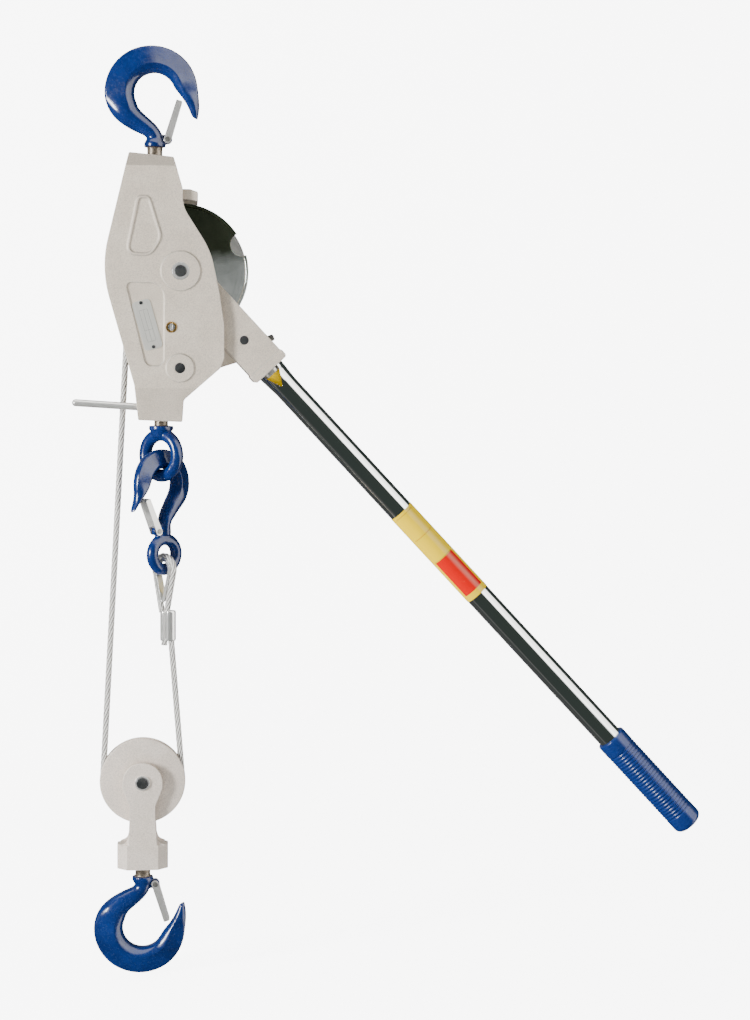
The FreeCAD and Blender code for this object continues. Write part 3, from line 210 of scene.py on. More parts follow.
def casting(name, dark, light, metallic, grain_depth, skin=0.0):
    """Blasted aluminium: fine sand grain, brighter edges (partly wear, partly a painted highlight), mottled tint.

    The skin is how much painted shade darkens the faces that slope up or down.
    """
    look = Look(name, metallic)
    grain = look.noise(1900, 5, 0.65)
    specks = look.noise(1100, 2, 0.6)
    mottle = look.noise(38, 4, 0.55, 0.4)
    base = look.mix(look.remap(mottle, 0.32, 0.68), dark, light)
    # Faces that slope up or down are painted darker: painted shade.
    slope = look.math("ABSOLUTE", look.split(look.node("ShaderNodeNewGeometry").outputs["Normal"])[2])
    slope_painted_shade = look.remap(slope, 0.04, 0.38, 1.0, 1.0 - skin)
    shade = look.math("MULTIPLY", look.remap(specks, 0.3, 0.7, 0.78, 1.12), slope_painted_shade)
    tone = look.node("ShaderNodeVectorMath", operation="SCALE")
    look.set(tone, 0, base)
    look.set(tone, "Scale", shade)
    # Near-white rims on the hard edges: partly wear, partly a painted highlight.
    rim = look.math("MULTIPLY", look.edges(1.2 * MM, 0.01, 0.12),
                    look.remap(look.noise(300), 0.35, 0.6, 0.5, 1.0))
    colour = look.mix(rim, tone.outputs[0], (0.97, 0.93, 0.86))
    rough = look.remap(look.noise(600, 3), 0.3, 0.7, 0.46, 0.62)
    normal = look.bump(grain, grain_depth, 0.7, look.bump(look.noise(220, 3), 0.12 * MM, 0.35))
    return look.finish(Base_Color=colour, Roughness=rough, Normal=normal)


def plated(name, low, high, rough_low, rough_high):
    """Plated steel: a cloudy tint, uneven shine and a faintly uneven face."""
    look = Look(name, 0.7)
    cloud = look.noise(60, 3, 0.5, 0.5)
    colour = look.mix(look.remap(cloud, 0.35, 0.68), low, high)
    rough = look.remap(look.noise(90, 3, 0.5), 0.3, 0.7, rough_low, rough_high)
    normal = look.bump(look.noise(110, 2), 0.01 * MM, 0.3)
    return look.finish(Base_Color=colour, Roughness=rough, Normal=normal)


# The disc's painted dark reflection starts and is full at these heights over the drum axis.
DARK_REFLECTION_LOW, DARK_REFLECTION_HIGH, DARK_REFLECTION_WANDER = 8 * MM, 22 * MM, 4 * MM


def disc_zinc():
    """Pressed zinc-plated flange: spinning marks, and a painted dark reflection on its upper part."""
    look = Look("disc_zinc", 0.92)
    x, _, z = look.split(look.moved(centre=DRUM))
    radius = look.math("SQRT", look.math("ADD", look.math("MULTIPLY", x, x),
                                         look.math("MULTIPLY", z, z)))
    lines = look.node("ShaderNodeTexNoise", noise_dimensions="1D")
    look.set(lines, "W", look.math("MULTIPLY", radius, 500.0))
    look.set(lines, "Scale", 1.0)
    look.set(lines, "Detail", 2.0)
    cloud = look.noise(55, 4, 0.6, 0.6)
    clean = look.mix(look.remap(cloud, 0.35, 0.65), (0.84, 0.86, 0.83), (0.96, 0.98, 0.95))
    # The upper part of the disc is painted dark olive: a painted reflection.
    painted_reflection_height = look.math("ADD", z, look.remap(cloud, 0.3, 0.7, -DARK_REFLECTION_WANDER, DARK_REFLECTION_WANDER))
    colour = look.mix(look.remap(painted_reflection_height, DARK_REFLECTION_LOW, DARK_REFLECTION_HIGH), clean, (0.15, 0.17, 0.11))
    rough = look.math("ADD", look.remap(look.noise(90, 3), 0.3, 0.7, 0.07, 0.11),
                      look.remap(lines.outputs[0], 0.3, 0.7, 0.0, 0.03))
    normal = look.bump(cloud, 0.05 * MM, 0.15)
    return look.finish(Base_Color=colour, Roughness=rough, Normal=normal)


def chrome():
    """Polished chrome with faint lengthwise polish lines and handling smears."""
    look = Look("chrome", 1.0)
    lines = look.noise(1, 2, 0.5, 0.0, look.moved((0, -HANDLE_TILT, 0), (14, 1500, 1500), DRUM))
    smear = look.noise(30, 4, 0.6, 0.8)
    rough = look.math("ADD", look.remap(smear, 0.48, 0.72, 0.035, 0.13),
                      look.remap(lines, 0.4, 0.7, 0.0, 0.03))
    normal = look.bump(lines, 0.006 * MM, 0.4)
    return look.finish(Base_Color=(0.83, 0.84, 0.83), Roughness=rough, Normal=normal)


def wire_rope():
    """Galvanised strands: single wires as bump, painted shade between the strands."""
    look = Look("wire_rope", 0.3)
    uv = look.node("ShaderNodeUVMap", uv_map="strand")
    along, around, _ = look.split(uv.outputs[0])
    wires = look.math("SINE", look.math("ADD", look.math("MULTIPLY", around, 12 * math.tau),
                                        look.math("MULTIPLY", along, -1.5 * math.tau / (6 * MM))))
    depth = look.node("ShaderNodeAttribute", attribute_name="outer")
    # The inner sides of the strands are painted dark: painted crevice shade.
    unshaded_side = look.remap(depth.outputs["Fac"], 0.45, 0.85)
    bright = look.mix(look.noise(500, 3), (0.90, 0.885, 0.84), (0.97, 0.96, 0.92))
    colour = look.mix(unshaded_side, (0.13, 0.12, 0.105), bright)
    rough = look.remap(look.noise(700, 3), 0.3, 0.7, 0.32, 0.46)
    return look.finish(Base_Color=colour, Roughness=rough, Normal=look.bump(wires, 0.12 * MM, 0.6))


DRAG_SCREW = Vector((-8.8, 0.0, -54.1)) * MM


def brass(name, core_radius=0.0):
    """Turned brass, with a steel insert round the drag screw's axis."""
    look = Look(name, 1.0)
    metal = look.mix(look.noise(180, 3), (0.50, 0.30, 0.10), (0.74, 0.50, 0.22))
    x, _, z = look.split(look.moved(centre=DRUM + DRAG_SCREW))
    radius = look.math("SQRT", look.math("ADD", look.math("MULTIPLY", x, x),
                                         look.math("MULTIPLY", z, z)))
    insert = look.math("LESS_THAN", radius, core_radius)
    colour = look.mix(insert, metal, (0.86, 0.86, 0.84))
    rough = look.remap(look.noise(500, 3), 0.3, 0.7, 0.24, 0.42)
    return look.finish(Base_Color=colour, Roughness=rough,
                       Normal=look.bump(look.noise(1500, 2), 0.02 * MM, 0.5))


def vinyl():
    """Glossy dipped vinyl of the grip."""
    look = Look("grip_vinyl")
    colour = look.mix(look.noise(70, 3), (0.0015, 0.026, 0.175), (0.003, 0.037, 0.23))
    rough = look.remap(look.noise(420, 4, 0.6), 0.3, 0.7, 0.24, 0.38)
    normal = look.bump(look.noise(900, 3), 0.04 * MM, 0.5, look.bump(look.noise(90, 2), 0.3 * MM, 0.3))
    return look.finish(Base_Color=colour, Roughness=rough, Normal=normal,
                       Coat_Weight=0.25, Coat_Roughness=0.15)


# Along the handle: the red panel's two ends, and the dark rules in mm on the yellow one.
LABEL_SPLIT = 383.5 * MM
LABEL_RED_END = 428.8 * MM
LABEL_RULES = (324.5, 353.0, 382.6)
# Round the tube in radians from the front: the edge of the print, and the painted pale sheen.
LABEL_MARGIN = 0.95
LABEL_PAINTED_GLARE = 0.45


def label_film():
    """Blank two-colour film: a ruled yellow panel, then a red one in a margin."""
    look = Look("label_film")
    along, across, up = look.split(look.moved((0, -HANDLE_TILT, 0), (1, 1, 1), DRUM))
    turn = look.math("ARCTAN2", up, look.math("MULTIPLY", across, -1.0))
    inside = look.band(turn, -LABEL_MARGIN, LABEL_MARGIN)
    red = look.math("MULTIPLY", look.band(along, LABEL_SPLIT, LABEL_RED_END), inside)
    colour = look.mix(red, (0.96, 0.66, 0.0), (0.72, 0.001, 0.0))
    # A pale band painted round the tube: a painted highlight.
    aside = look.math("ABSOLUTE", look.math("SUBTRACT", turn, LABEL_PAINTED_GLARE))
    painted_glare = look.remap(aside, 0.05, 0.32, 0.22, 0.0)
    colour = look.mix(painted_glare, colour, (0.95, 0.80, 0.62))
    for rule in LABEL_RULES:
        line = look.band(along, rule * MM, (rule + 0.5) * MM)
        colour = look.mix(look.math("MULTIPLY", look.math("MULTIPLY", line, inside), 0.8),
                          colour, (0.10, 0.10, 0.01))
    scuff = look.remap(look.noise(260, 5, 0.7), 0.62, 0.72, 0.0, 0.12)
    colour = look.mix(scuff, colour, (0.75, 0.60, 0.30))
    rough = look.remap(look.noise(200, 3), 0.3, 0.7, 0.28, 0.42)
    # The label glows by its own emission: painted light.
    return look.finish(Base_Color=colour, Roughness=rough, Specular_IOR_Level=0.06,
                       Emission_Color=colour, Emission_Strength=0.3,
                       Normal=look.bump(look.noise(160, 3), 0.04 * MM, 0.5))


PLATE_CENTRE = DRUM + Vector((-32.1, -35, -52.1)) * MM
PLATE_TILT = math.radians(16.0)


def name_plate():
    """Brushed blank plate with printed empty boxes."""
    look = Look("name_plate", 0.35)
    local = look.moved((0, PLATE_TILT, 0), (1, 1, 1), PLATE_CENTRE)
    x, _, z = look.split(local)
    brushed = look.noise(1, 2, 0.6, 0.0, look.moved((0, PLATE_TILT, 0), (2600, 900, 60), PLATE_CENTRE))
    base = look.mix(look.remap(brushed, 0.3, 0.7), (0.70, 0.70, 0.64), (0.82, 0.81, 0.75))
    ink = None
    for centre in (-3.9, 0.1, 4.1):
        line = look.band(x, (centre - 0.15) * MM, (centre + 0.15) * MM)
        inside = look.band(z, -16.5 * MM, 15.0 * MM)
        stroke = look.math("MULTIPLY", line, inside)
        ink = stroke if ink is None else look.math("MAXIMUM", ink, stroke)
    for centre in (-16.4, -5.0, 14.9):
        line = look.band(z, (centre - 0.15) * MM, (centre + 0.15) * MM)
        inside = look.band(x, -4.0 * MM, 4.2 * MM)
        ink = look.math("MAXIMUM", ink, look.math("MULTIPLY", line, inside))
    colour = look.mix(look.math("MULTIPLY", ink, 0.55), base, (0.06, 0.06, 0.06))
    rough = look.remap(look.noise(400, 3), 0.3, 0.7, 0.28, 0.4)
    return look.finish(Base_Color=colour, Roughness=rough,
                       Normal=look.bump(brushed, 0.02 * MM, 0.4))


def yellow_paint():
    look = Look("yellow_paint")
    colour = look.mix(look.noise(160, 4), (0.92, 0.60, 0.0), (0.97, 0.68, 0.0))
    rough = look.remap(look.noise(500, 3), 0.3, 0.7, 0.3, 0.45)
    # The yellow paint glows by its own emission: painted light against the tube's shade.
    return look.finish(Base_Color=colour, Roughness=rough, Specular_IOR_Level=0.1,
                       Emission_Color=colour, Emission_Strength=0.25,
                       Normal=look.bump(look.noise(700, 2), 0.04 * MM, 0.5))


PAPER_GLOW = 7.0


def studio_paper():
    """Seamless pale paper of the floor and the wall behind, a high key to the camera."""
    look = Look("studio_paper", 0.0, 0.9)
    colour = look.mix(look.noise(9, 3), (0.93, 0.93, 0.925), (0.95, 0.95, 0.945))
    seen = look.node("ShaderNodeLightPath").outputs["Is Camera Ray"]
    glow = look.math("MULTIPLY", seen, PAPER_GLOW)
    paper = look.finish(Base_Color=colour, Normal=look.bump(look.noise(500, 2), 0.05 * MM, 0.2),
                        Emission_Color=(1.0, 1.0, 1.0), Emission_Strength=glow)
    # A camera behind the paper looks straight through it.
    back = look.node("ShaderNodeNewGeometry").outputs["Backfacing"]
    through = look.node("ShaderNodeMixShader")
    look.set(through, 0, look.math("MULTIPLY", back, seen))
    look.tree.links.new(look.shader.outputs[0], through.inputs[1])
    look.tree.links.new(look.node("ShaderNodeBsdfTransparent").outputs[0], through.inputs[2])
    look.tree.links.new(through.outputs[0], look.tree.nodes["Material Output"].inputs["Surface"])
    return paper


# Heights where the paint of each swivel fitting ends and its bare shank starts,
# and where the eye's shank stands.
TOP_COLLAR = -52.2 * MM
LOW_COLLAR = DRUM.z - (653.0 - 52.2) * MM
EYE_COLLAR = DRUM.z - 150.5 * MM
EYE_AXIS = DRUM.x - 19.0 * MM

MATERIALS = {
    "blue": blue_paint("blue_paint"),
    "blue_top": blue_paint("blue_paint_top", -0.13, TOP_COLLAR),
    "blue_low": blue_paint("blue_paint_low", LOW_COLLAR, LOW_COLLAR + 0.08),
    "blue_eye": blue_paint("blue_paint_eye", EYE_COLLAR, EYE_COLLAR + 0.04),
    "casting": casting("frame_casting", (0.72, 0.635, 0.52), (0.81, 0.72, 0.60), 0.05, 0.14 * MM, 0.34),
    "block": casting("block_casting", (0.84, 0.745, 0.645), (0.91, 0.815, 0.715), 0.05, 0.03 * MM),
    "zinc": plated("zinc", (0.87, 0.86, 0.83), (0.95, 0.94, 0.91), 0.28, 0.38),
    "swaged": plated("swaged", (0.86, 0.855, 0.83), (0.95, 0.945, 0.92), 0.16, 0.24),
    "disc": disc_zinc(),
    "steel": plated("steel", (0.22, 0.215, 0.20), (0.38, 0.37, 0.35), 0.28, 0.46),
    "dark_steel": plated("dark_steel", (0.055, 0.06, 0.062), (0.15, 0.155, 0.155), 0.22, 0.4),
    "chrome": chrome(),
    "rope": wire_rope(),
    "brass": brass("brass"),
    "drag_brass": brass("drag_brass", 3.3 * MM),
    "grip": vinyl(),
    "label": label_film(),
    "plate": name_plate(),
    "yellow": yellow_paint(),
}


# ------------------------------------------------------------------ pieces

def add_piece(name, mesh, look, slot, body, *nodes):
    """Put a mesh in the scene with its material, body and the nodes it stands for."""
    piece = bpy.data.objects.new(name, mesh)
    bpy.context.scene.collection.objects.link(piece)
    mesh.materials.clear()
    mesh.materials.append(MATERIALS[look])
    if nodes:
        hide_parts(*nodes)
    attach(piece, body)
    return piece


NODE_BODY = {node: body for body, members in frame["record"]["behaviour"]["bodies"].items()
             for node in members}
NODE_SLOT = {part["node"]: part["material_slot"] for part in frame["record"]["subparts"]}
HARD_EDGE = math.radians(32)


def smooth_mesh(name, builder, hard_edge=HARD_EDGE):
    """A smooth-shaded mesh: its hard edges are sharp, and the outer ones are weighted."""
    bmesh.ops.recalc_face_normals(builder, faces=builder.faces)
    weight = builder.edges.layers.float.new("bevel_weight_edge")
    for face in builder.faces:
        face.smooth = True
    for edge in builder.edges:
        edge.smooth = edge.calc_face_angle(0.0) < hard_edge
        edge[weight] = 0.0 if edge.smooth or not edge.is_convex else 1.0
    mesh = bpy.data.meshes.new(name)
    builder.to_mesh(mesh)
    builder.free()
    return mesh


def round_edges(piece, width):
    """Round the weighted edges of a piece; the width is in mm."""
    edge = piece.modifiers.new("edge", "BEVEL")
    edge.width = width * MM
    edge.segments = 2
    edge.limit_method = "WEIGHT"
    edge.use_clamp_overlap = False
    edge.harden_normals = True


def finished(node, look, bevel, play=0.0):
    """The CAD node's shape with flat faces made whole and every edge rounded.

    The play in mm is taken off all round, so that a pin turns freely in its hole.
    """
    builder = bmesh.new()
    builder.from_mesh(frame["nodes"][node].data)
    bmesh.ops.remove_doubles(builder, verts=builder.verts, dist=2e-6)
    bmesh.ops.dissolve_limit(builder, angle_limit=math.radians(0.5), verts=builder.verts,
                             edges=builder.edges)
    if play:
        builder.normal_update()
        shift = [-vert.normal * play * MM for vert in builder.verts]
        for vert, step in zip(builder.verts, shift):
            vert.co += step
    mesh = smooth_mesh(node + "_mesh", builder)
    piece = add_piece(node + "_piece", mesh, look, NODE_SLOT[node], NODE_BODY[node], node)
    round_edges(piece, bevel)


def baked(piece):
    """Turn a piece's modifiers into plain geometry."""
    depsgraph = bpy.context.evaluated_depsgraph_get()
    mesh = bpy.data.meshes.new_from_object(piece.evaluated_get(depsgraph))
    piece.modifiers.clear()
    piece.data = mesh


def forging_section(points, place):
    """Give a hook's bar a ridge near the bowl and a face that slopes to its back."""
    to_local = np.array(place.inverted())
    local = points @ to_local[:3, :3].T + to_local[:3, 3]
    radius = np.hypot(local[:, 0], local[:, 2])
    angle = np.degrees(np.arctan2(local[:, 2], local[:, 0]))
    angle = np.where(angle < -90, angle + 360, angle)
    inside = (angle > TIP_ANGLE) & (angle < NECK_ANGLE) & (radius < 52 * MM)
    marks = np.arange(TIP_ANGLE, NECK_ANGLE + 1, 4.0)
    low, high = [], []
    for mark in marks:
        near = radius[inside & (np.abs(angle - mark) < 3)]
        low.append(near.min() if len(near) else 20 * MM)
        high.append(near.max() if len(near) else 45 * MM)
    across = (radius - np.interp(angle, marks, low)) / (
        np.interp(angle, marks, high) - np.interp(angle, marks, low))
    across = np.clip(across, 0.001, 0.999)
    oval = np.sqrt(1 - (2 * across - 1) ** 2)
    slope = RIDGE_HEIGHT - (across - RIDGE) * (RIDGE_HEIGHT - BACK_HEIGHT) / (1 - RIDGE)
    share = np.where(across > RIDGE, np.minimum(slope / oval, 1.0), 1.0)
    fade = np.clip(np.minimum(angle - TIP_ANGLE, NECK_ANGLE - angle) / 35, 0, 1)
    fade = fade * fade * (3 - 2 * fade)
    local[:, 1] *= np.where(inside, 1 - fade * (1 - share), 1.0)
    forward = np.array(place)
    return local @ forward[:3, :3].T + forward[:3, 3]


# A hook bar's ridge sits at this share of its width; heights are shares of its half depth.
RIDGE, RIDGE_HEIGHT, BACK_HEIGHT = 0.30, 0.93, 0.40
# The shaped part of the bar runs from its tip to its neck, in degrees round the bowl.
TIP_ANGLE, NECK_ANGLE = -30.0, 214.0
# Share of the radius that is taken off a shank that turns in its bore.
SHANK_PLAY = 0.05


def forged(node, look, section=None, voxel=0.6, rounds=10, lump=0.1, keep=1.0, seed=0,
           slim_above=None):
    """The CAD node as one lump of metal: its joins melt together and its skin is uneven.

    The shank above a height is made a little thinner, so that it turns in its bore.
    """
    mesh = frame["nodes"][node].data.copy()
    piece = add_piece(node + "_skin", mesh, look, NODE_SLOT[node], NODE_BODY[node], node)
    remesh = piece.modifiers.new("skin", "REMESH")
    remesh.mode = "VOXEL"
    remesh.voxel_size = voxel * MM
    remesh.use_smooth_shade = True
    soften = piece.modifiers.new("soften", "SMOOTH")
    soften.factor = 0.5
    soften.iterations = rounds
    if keep < 1.0:
        thin = piece.modifiers.new("thin", "DECIMATE")
        thin.ratio = keep
    baked(piece)
    skin = piece.data
    for name in [layer.name for layer in skin.attributes if layer.name == "custom_normal"]:
        skin.attributes.remove(skin.attributes[name])
    points = np.zeros(len(skin.vertices) * 3)
    normals = np.zeros(len(skin.vertices) * 3)
    skin.vertices.foreach_get("co", points)
    skin.vertices.foreach_get("normal", normals)
    points = points.reshape(-1, 3)
    offset = Vector((seed * 7.3, 0, 0))
    height = [noise.noise(Vector(point) * 110 + offset) for point in points]
    points += normals.reshape(-1, 3) * np.array(height)[:, None] * lump * MM
    if section:
        points = forging_section(points, section)
    if slim_above:
        shank = points[:, 2] > slim_above
        points[shank, 0] -= (points[shank, 0] - EYE_AXIS) * SHANK_PLAY
        points[shank, 1] -= points[shank, 1] * SHANK_PLAY
    skin.vertices.foreach_set("co", points.reshape(-1))
    skin.update()
    return piece


def numpy_mesh(name, points, faces, corner_uv=None, outer=None):
    mesh = bpy.data.meshes.new(name)
    mesh.from_pydata([tuple(p) for p in points], [], faces)
    for polygon in mesh.polygons:
        polygon.use_smooth = True
    if corner_uv is not None:
        layer = mesh.uv_layers.new(name="strand")
        layer.data.foreach_set("uv", np.array(corner_uv, np.float32).reshape(-1))
    if outer is not None:
        attribute = mesh.attributes.new("outer", "FLOAT", "POINT")
        attribute.data.foreach_set("value", np.array(outer, np.float32))
    mesh.update()
    return mesh


ROPE_RADIUS = 3.15 * MM
ROPE_LAY = 42.0 * MM
STRANDS = 6
RING_POINTS = 12
RING_STEP = 1.5 * MM


def spaced(path, closed=False):
    """The path's points at even steps, with how far along each one is."""
    line = np.array(path + path[:1] if closed else path, float)
    steps = np.linalg.norm(np.diff(line, axis=0), axis=1)
    reach = np.concatenate([[0.0], np.cumsum(steps)])
    count = max(int(round(reach[-1] / RING_STEP)), 2)
    wanted = np.linspace(0, reach[-1], count + 1)
    points = np.stack([np.interp(wanted, reach, line[:, k]) for k in range(3)], axis=1)
    if closed:
        return points[:-1], wanted[:-1], reach[-1]
    return points, wanted, reach[-1]


def rope(name, path, side, body, *nodes, closed=False, start=0.0):
    """A laid rope along a plane path: six round strands twisted round a core."""
    points, reach, length = spaced(path, closed)
    lay = length / round(length / ROPE_LAY) if closed else ROPE_LAY
    if closed:
        tangent = np.roll(points, -1, axis=0) - np.roll(points, 1, axis=0)
    else:
        tangent = np.gradient(points, axis=0)
    tangent /= np.linalg.norm(tangent, axis=1)[:, None]
    side = np.array(side, float)
    normal = np.cross(side, tangent)
    strand_radius = ROPE_RADIUS * 0.352
    offset = ROPE_RADIUS - strand_radius
    verts, faces, uvs, outer = [], [], [], []
    rings = len(points)
    spans = rings if closed else rings - 1
    for strand in range(STRANDS + 1):
        core = strand == STRANDS
        turn = math.tau * (strand / STRANDS + (reach + start) / lay)
        radial = np.cos(turn)[:, None] * normal + np.sin(turn)[:, None] * side
        around = -np.sin(turn)[:, None] * normal + np.cos(turn)[:, None] * side
        centre = points + radial * (0.0 if core else offset)
        radius = offset - strand_radius * 0.8 if core else strand_radius
        first = len(verts)
        for ring in range(rings):
            for k in range(RING_POINTS):
                angle = math.tau * k / RING_POINTS
                verts.append(centre[ring] + radius * (math.cos(angle) * radial[ring]
                                                      + math.sin(angle) * around[ring]))
                # How far out on its strand each point lies; the rope's colour paints shade where this is low.
                outer.append(0.0 if core else 0.5 + 0.5 * math.cos(angle))
        for ring in range(spans):
            here = first + ring * RING_POINTS
            ahead = first + ((ring + 1) % rings) * RING_POINTS
            u0 = ring * RING_STEP + start
            u1 = u0 + RING_STEP
            for k in range(RING_POINTS):
                after = (k + 1) % RING_POINTS
                faces.append((here + k, here + after, ahead + after, ahead + k))
                v0, v1 = k / RING_POINTS, (k + 1) / RING_POINTS
                uvs.extend([(u0, v0), (u0, v1), (u1, v1), (u1, v0)])
        if not closed:
            low = list(range(first, first + RING_POINTS))
            high = [first + (rings - 1) * RING_POINTS + k for k in range(RING_POINTS)]
            faces.append(tuple(reversed(low)))
            faces.append(tuple(high))
            uvs.extend([(start, 0.5)] * (2 * RING_POINTS))
    mesh = numpy_mesh(name + "_mesh", verts, faces, uvs, outer)
    return add_piece(name, mesh, "rope", "wire_rope", body, *nodes)


def arc(centre, radius, start, end, steps=90, y=0.0):
    """Points of an arc in the XZ plane; angles in radians from +X towards +Z."""
    return [(centre.x + radius * math.cos(a), y, centre.z + radius * math.sin(a))
            for a in np.linspace(start, end, steps)]


WIND_RADIUS = 49.0 * MM
SHEAVE_ROPE = 39.3 * MM
WRAP_PITCH = 6.5 * MM
FERRULE_X = DRUM.x - 12.3 * MM
FERRULE_Y = 0.9 * MM
FERRULE_HIGH = DRUM.z - 334.0 * MM
FERRULE_LOW = DRUM.z - 364.0 * MM
LEG_SPREAD = 3.2 * MM


def rope_runs():
    """Drum turns, both straight runs and the half turn under the sheave."""
    for k in range(3):
        ring = arc(DRUM, WIND_RADIUS, 0, math.tau, 181, -k * WRAP_PITCH)[:-1]
        nodes = ["rope_on_drum"] if k == 0 else []
        rope("rope_turn_%d" % k, ring, DEPTH, "drum", *nodes, closed=True)
    across = SHEAVE - DRUM
    lean = math.atan2(-across.x, -across.z)
    change = math.asin((WIND_RADIUS - SHEAVE_ROPE) / across.length)
    leave = math.pi - lean + change
    top = arc(DRUM, WIND_RADIUS, leave, leave, 1)[0]
    low = arc(SHEAVE, SHEAVE_ROPE, leave, leave, 1)[0]
    left = rope("rope_left", [top, low], DEPTH, "frame", "rope_left_run")
    length = (Vector(top) - Vector(low)).length
    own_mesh(left)
    end = Vector((FERRULE_X + LEG_SPREAD, 0, FERRULE_LOW))
    away = end - SHEAVE
    touch = math.atan2(away.z, away.x) - math.acos(SHEAVE_ROPE / away.length)
    wrap = arc(SHEAVE, SHEAVE_ROPE, leave, touch + math.tau, 120)
    rope("rope_under_sheave", wrap, DEPTH, "lower_block", "rope_sheave_wrap", start=length)
    start = length + SHEAVE_ROPE * (touch + math.tau - leave)
    right = rope("rope_right", [wrap[-1], tuple(end)], DEPTH, "frame", "rope_right_run", start=start)
    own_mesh(right)


LOOP_TURN = math.radians(-45)
LOOP = Matrix.Translation(DRUM + Vector((-15.9, 1.7, -292.6)) * MM) @ Matrix.Rotation(
    LOOP_TURN, 4, "Z")


def loop_path(radius, foot, drop):
    """Two straight legs and the arc over the top of a rope eye, in the row frame."""
    leg = math.acos(radius / math.hypot(foot, drop))
    touch = leg - math.atan2(foot, drop)
    local = [Vector((-foot, 0, -drop))]
    for angle in np.linspace(touch, math.tau - touch, 60):
        local.append(Vector((-radius * math.sin(angle), 0, -radius * math.cos(angle))))
    local.append(Vector((foot, 0, -drop)))
    return [tuple(LOOP @ point) for point in local]


def sweep(path, side, section):
    """Points and faces of a closed section carried along a plane path, with caps."""
    points, _, _ = spaced(path)
    tangent = np.gradient(points, axis=0)
    tangent /= np.linalg.norm(tangent, axis=1)[:, None]
    normal = np.cross(side, tangent)
    verts, faces = [], []
    count = len(section)
    for here, out in zip(points, normal):
        for a, b in section:
            verts.append(here + out * a + np.array(side) * b)
    for ring in range(len(points) - 1):
        for k in range(count):
            low = ring * count
            after = (k + 1) % count
            faces.append((low + k, low + after, low + count + after, low + count + k))
    faces.append(tuple(range(count - 1, -1, -1)))
    faces.append(tuple(range(len(verts) - count, len(verts))))
    return verts, faces


def rope_end():
    """Rope eye over its thimble, and the cut tail below the ferrule."""
    drop = 292.6 * MM - 334.0 * MM
    side = np.array(LOOP.to_3x3() @ DEPTH)
    path = loop_path(13.0 * MM, 3.3 * MM, -drop + 2 * MM)
    rope("rope_eye", path, side, "eye", "rope_eye_loop")
    tail = [(FERRULE_X - LEG_SPREAD, 0, FERRULE_LOW + 2 * MM),
            (FERRULE_X - LEG_SPREAD - 0.6 * MM, 0, FERRULE_LOW - 4.5 * MM)]
    rope("rope_tail", tail, DEPTH, "eye")
    # The channel is open towards the rope, which lies on the outer side of the path.
    inner, outer, wall = -0.9 * MM, 2.6 * MM, 0.8 * MM
    half = 3.9 * MM
    section = [(inner, -half), (inner, half), (outer, half), (outer, half - wall),
               (inner + wall, half - 1.8 * MM), (inner + wall, 1.8 * MM - half),
               (outer, wall - half), (outer, -half)]
    path = loop_path(9.3 * MM, 0.9 * MM, -drop - 9 * MM)
    verts, faces = sweep(path, side, [(-a, b) for a, b in section])
    builder = bmesh.new()
    for vert in verts:
        builder.verts.new(vert)
    builder.verts.ensure_lookup_table()
    for face in faces:
        builder.faces.new([builder.verts[k] for k in face])
    mesh = smooth_mesh("thimble_mesh", builder)
    piece = add_piece("thimble_channel", mesh, "swaged", "zinc", "eye", "thimble")
    round_edges(piece, 0.2)


def ferrule():
    """Swaged duplex sleeve: two lobes with a crevice between and pressed bands."""
    rings, around = 60, 72
    half_wide, half_deep = 7.8 * MM, 5.3 * MM
    verts, faces = [], []
    for ring in range(rings + 1):
        share = ring / rings
        z = FERRULE_LOW + (FERRULE_HIGH - FERRULE_LOW) * share
        chamfer = min(share, 1 - share) * 30.0
        scale = 1.0 - 0.09 * math.exp(-chamfer / 0.5)
        press = 1.0 - 0.008 * (0.5 + 0.5 * math.cos(share * math.tau * 3))
        for k in range(around):
            angle = math.tau * k / around
            c, s = math.cos(angle), math.sin(angle)
            crease = 1.0 - 0.42 * math.exp(-((c + 0.30) / 0.17) ** 2)
            verts.append((FERRULE_X + half_wide * scale * c * abs(c) ** -0.12,
                          FERRULE_Y + half_deep * scale * press * s * crease, z))
    for ring in range(rings):
        for k in range(around):
            low = ring * around
            after = (k + 1) % around
            faces.append((low + k, low + after, low + around + after, low + around + k))
    faces.append(tuple(range(around - 1, -1, -1)))
    faces.append(tuple(range(rings * around, (rings + 1) * around)))
    mesh = numpy_mesh("ferrule_mesh", verts, faces)
    add_piece("ferrule_sleeve", mesh, "swaged", "zinc", "eye", "ferrule")


def lathe(name, profile, place, segments=96):
    """A mesh turned about a place's own X axis from (x, radius) points in mm."""
    builder = bmesh.new()
    rings = []
    for x, radius in profile:
        ring = []
        for k in range(segments):
            angle = math.tau * k / segments
            point = Vector((x, radius * math.cos(angle), radius * math.sin(angle))) * MM
            ring.append(builder.verts.new(place @ point))
        rings.append(ring)
    for low, high in zip(rings, rings[1:] + rings[:1]):
        for k in range(segments):
            after = (k + 1) % segments
            builder.faces.new((low[k], low[after], high[after], high[k]))
    bmesh.ops.remove_doubles(builder, verts=builder.verts, dist=1e-6)
    return smooth_mesh(name + "_mesh", builder, math.radians(50))


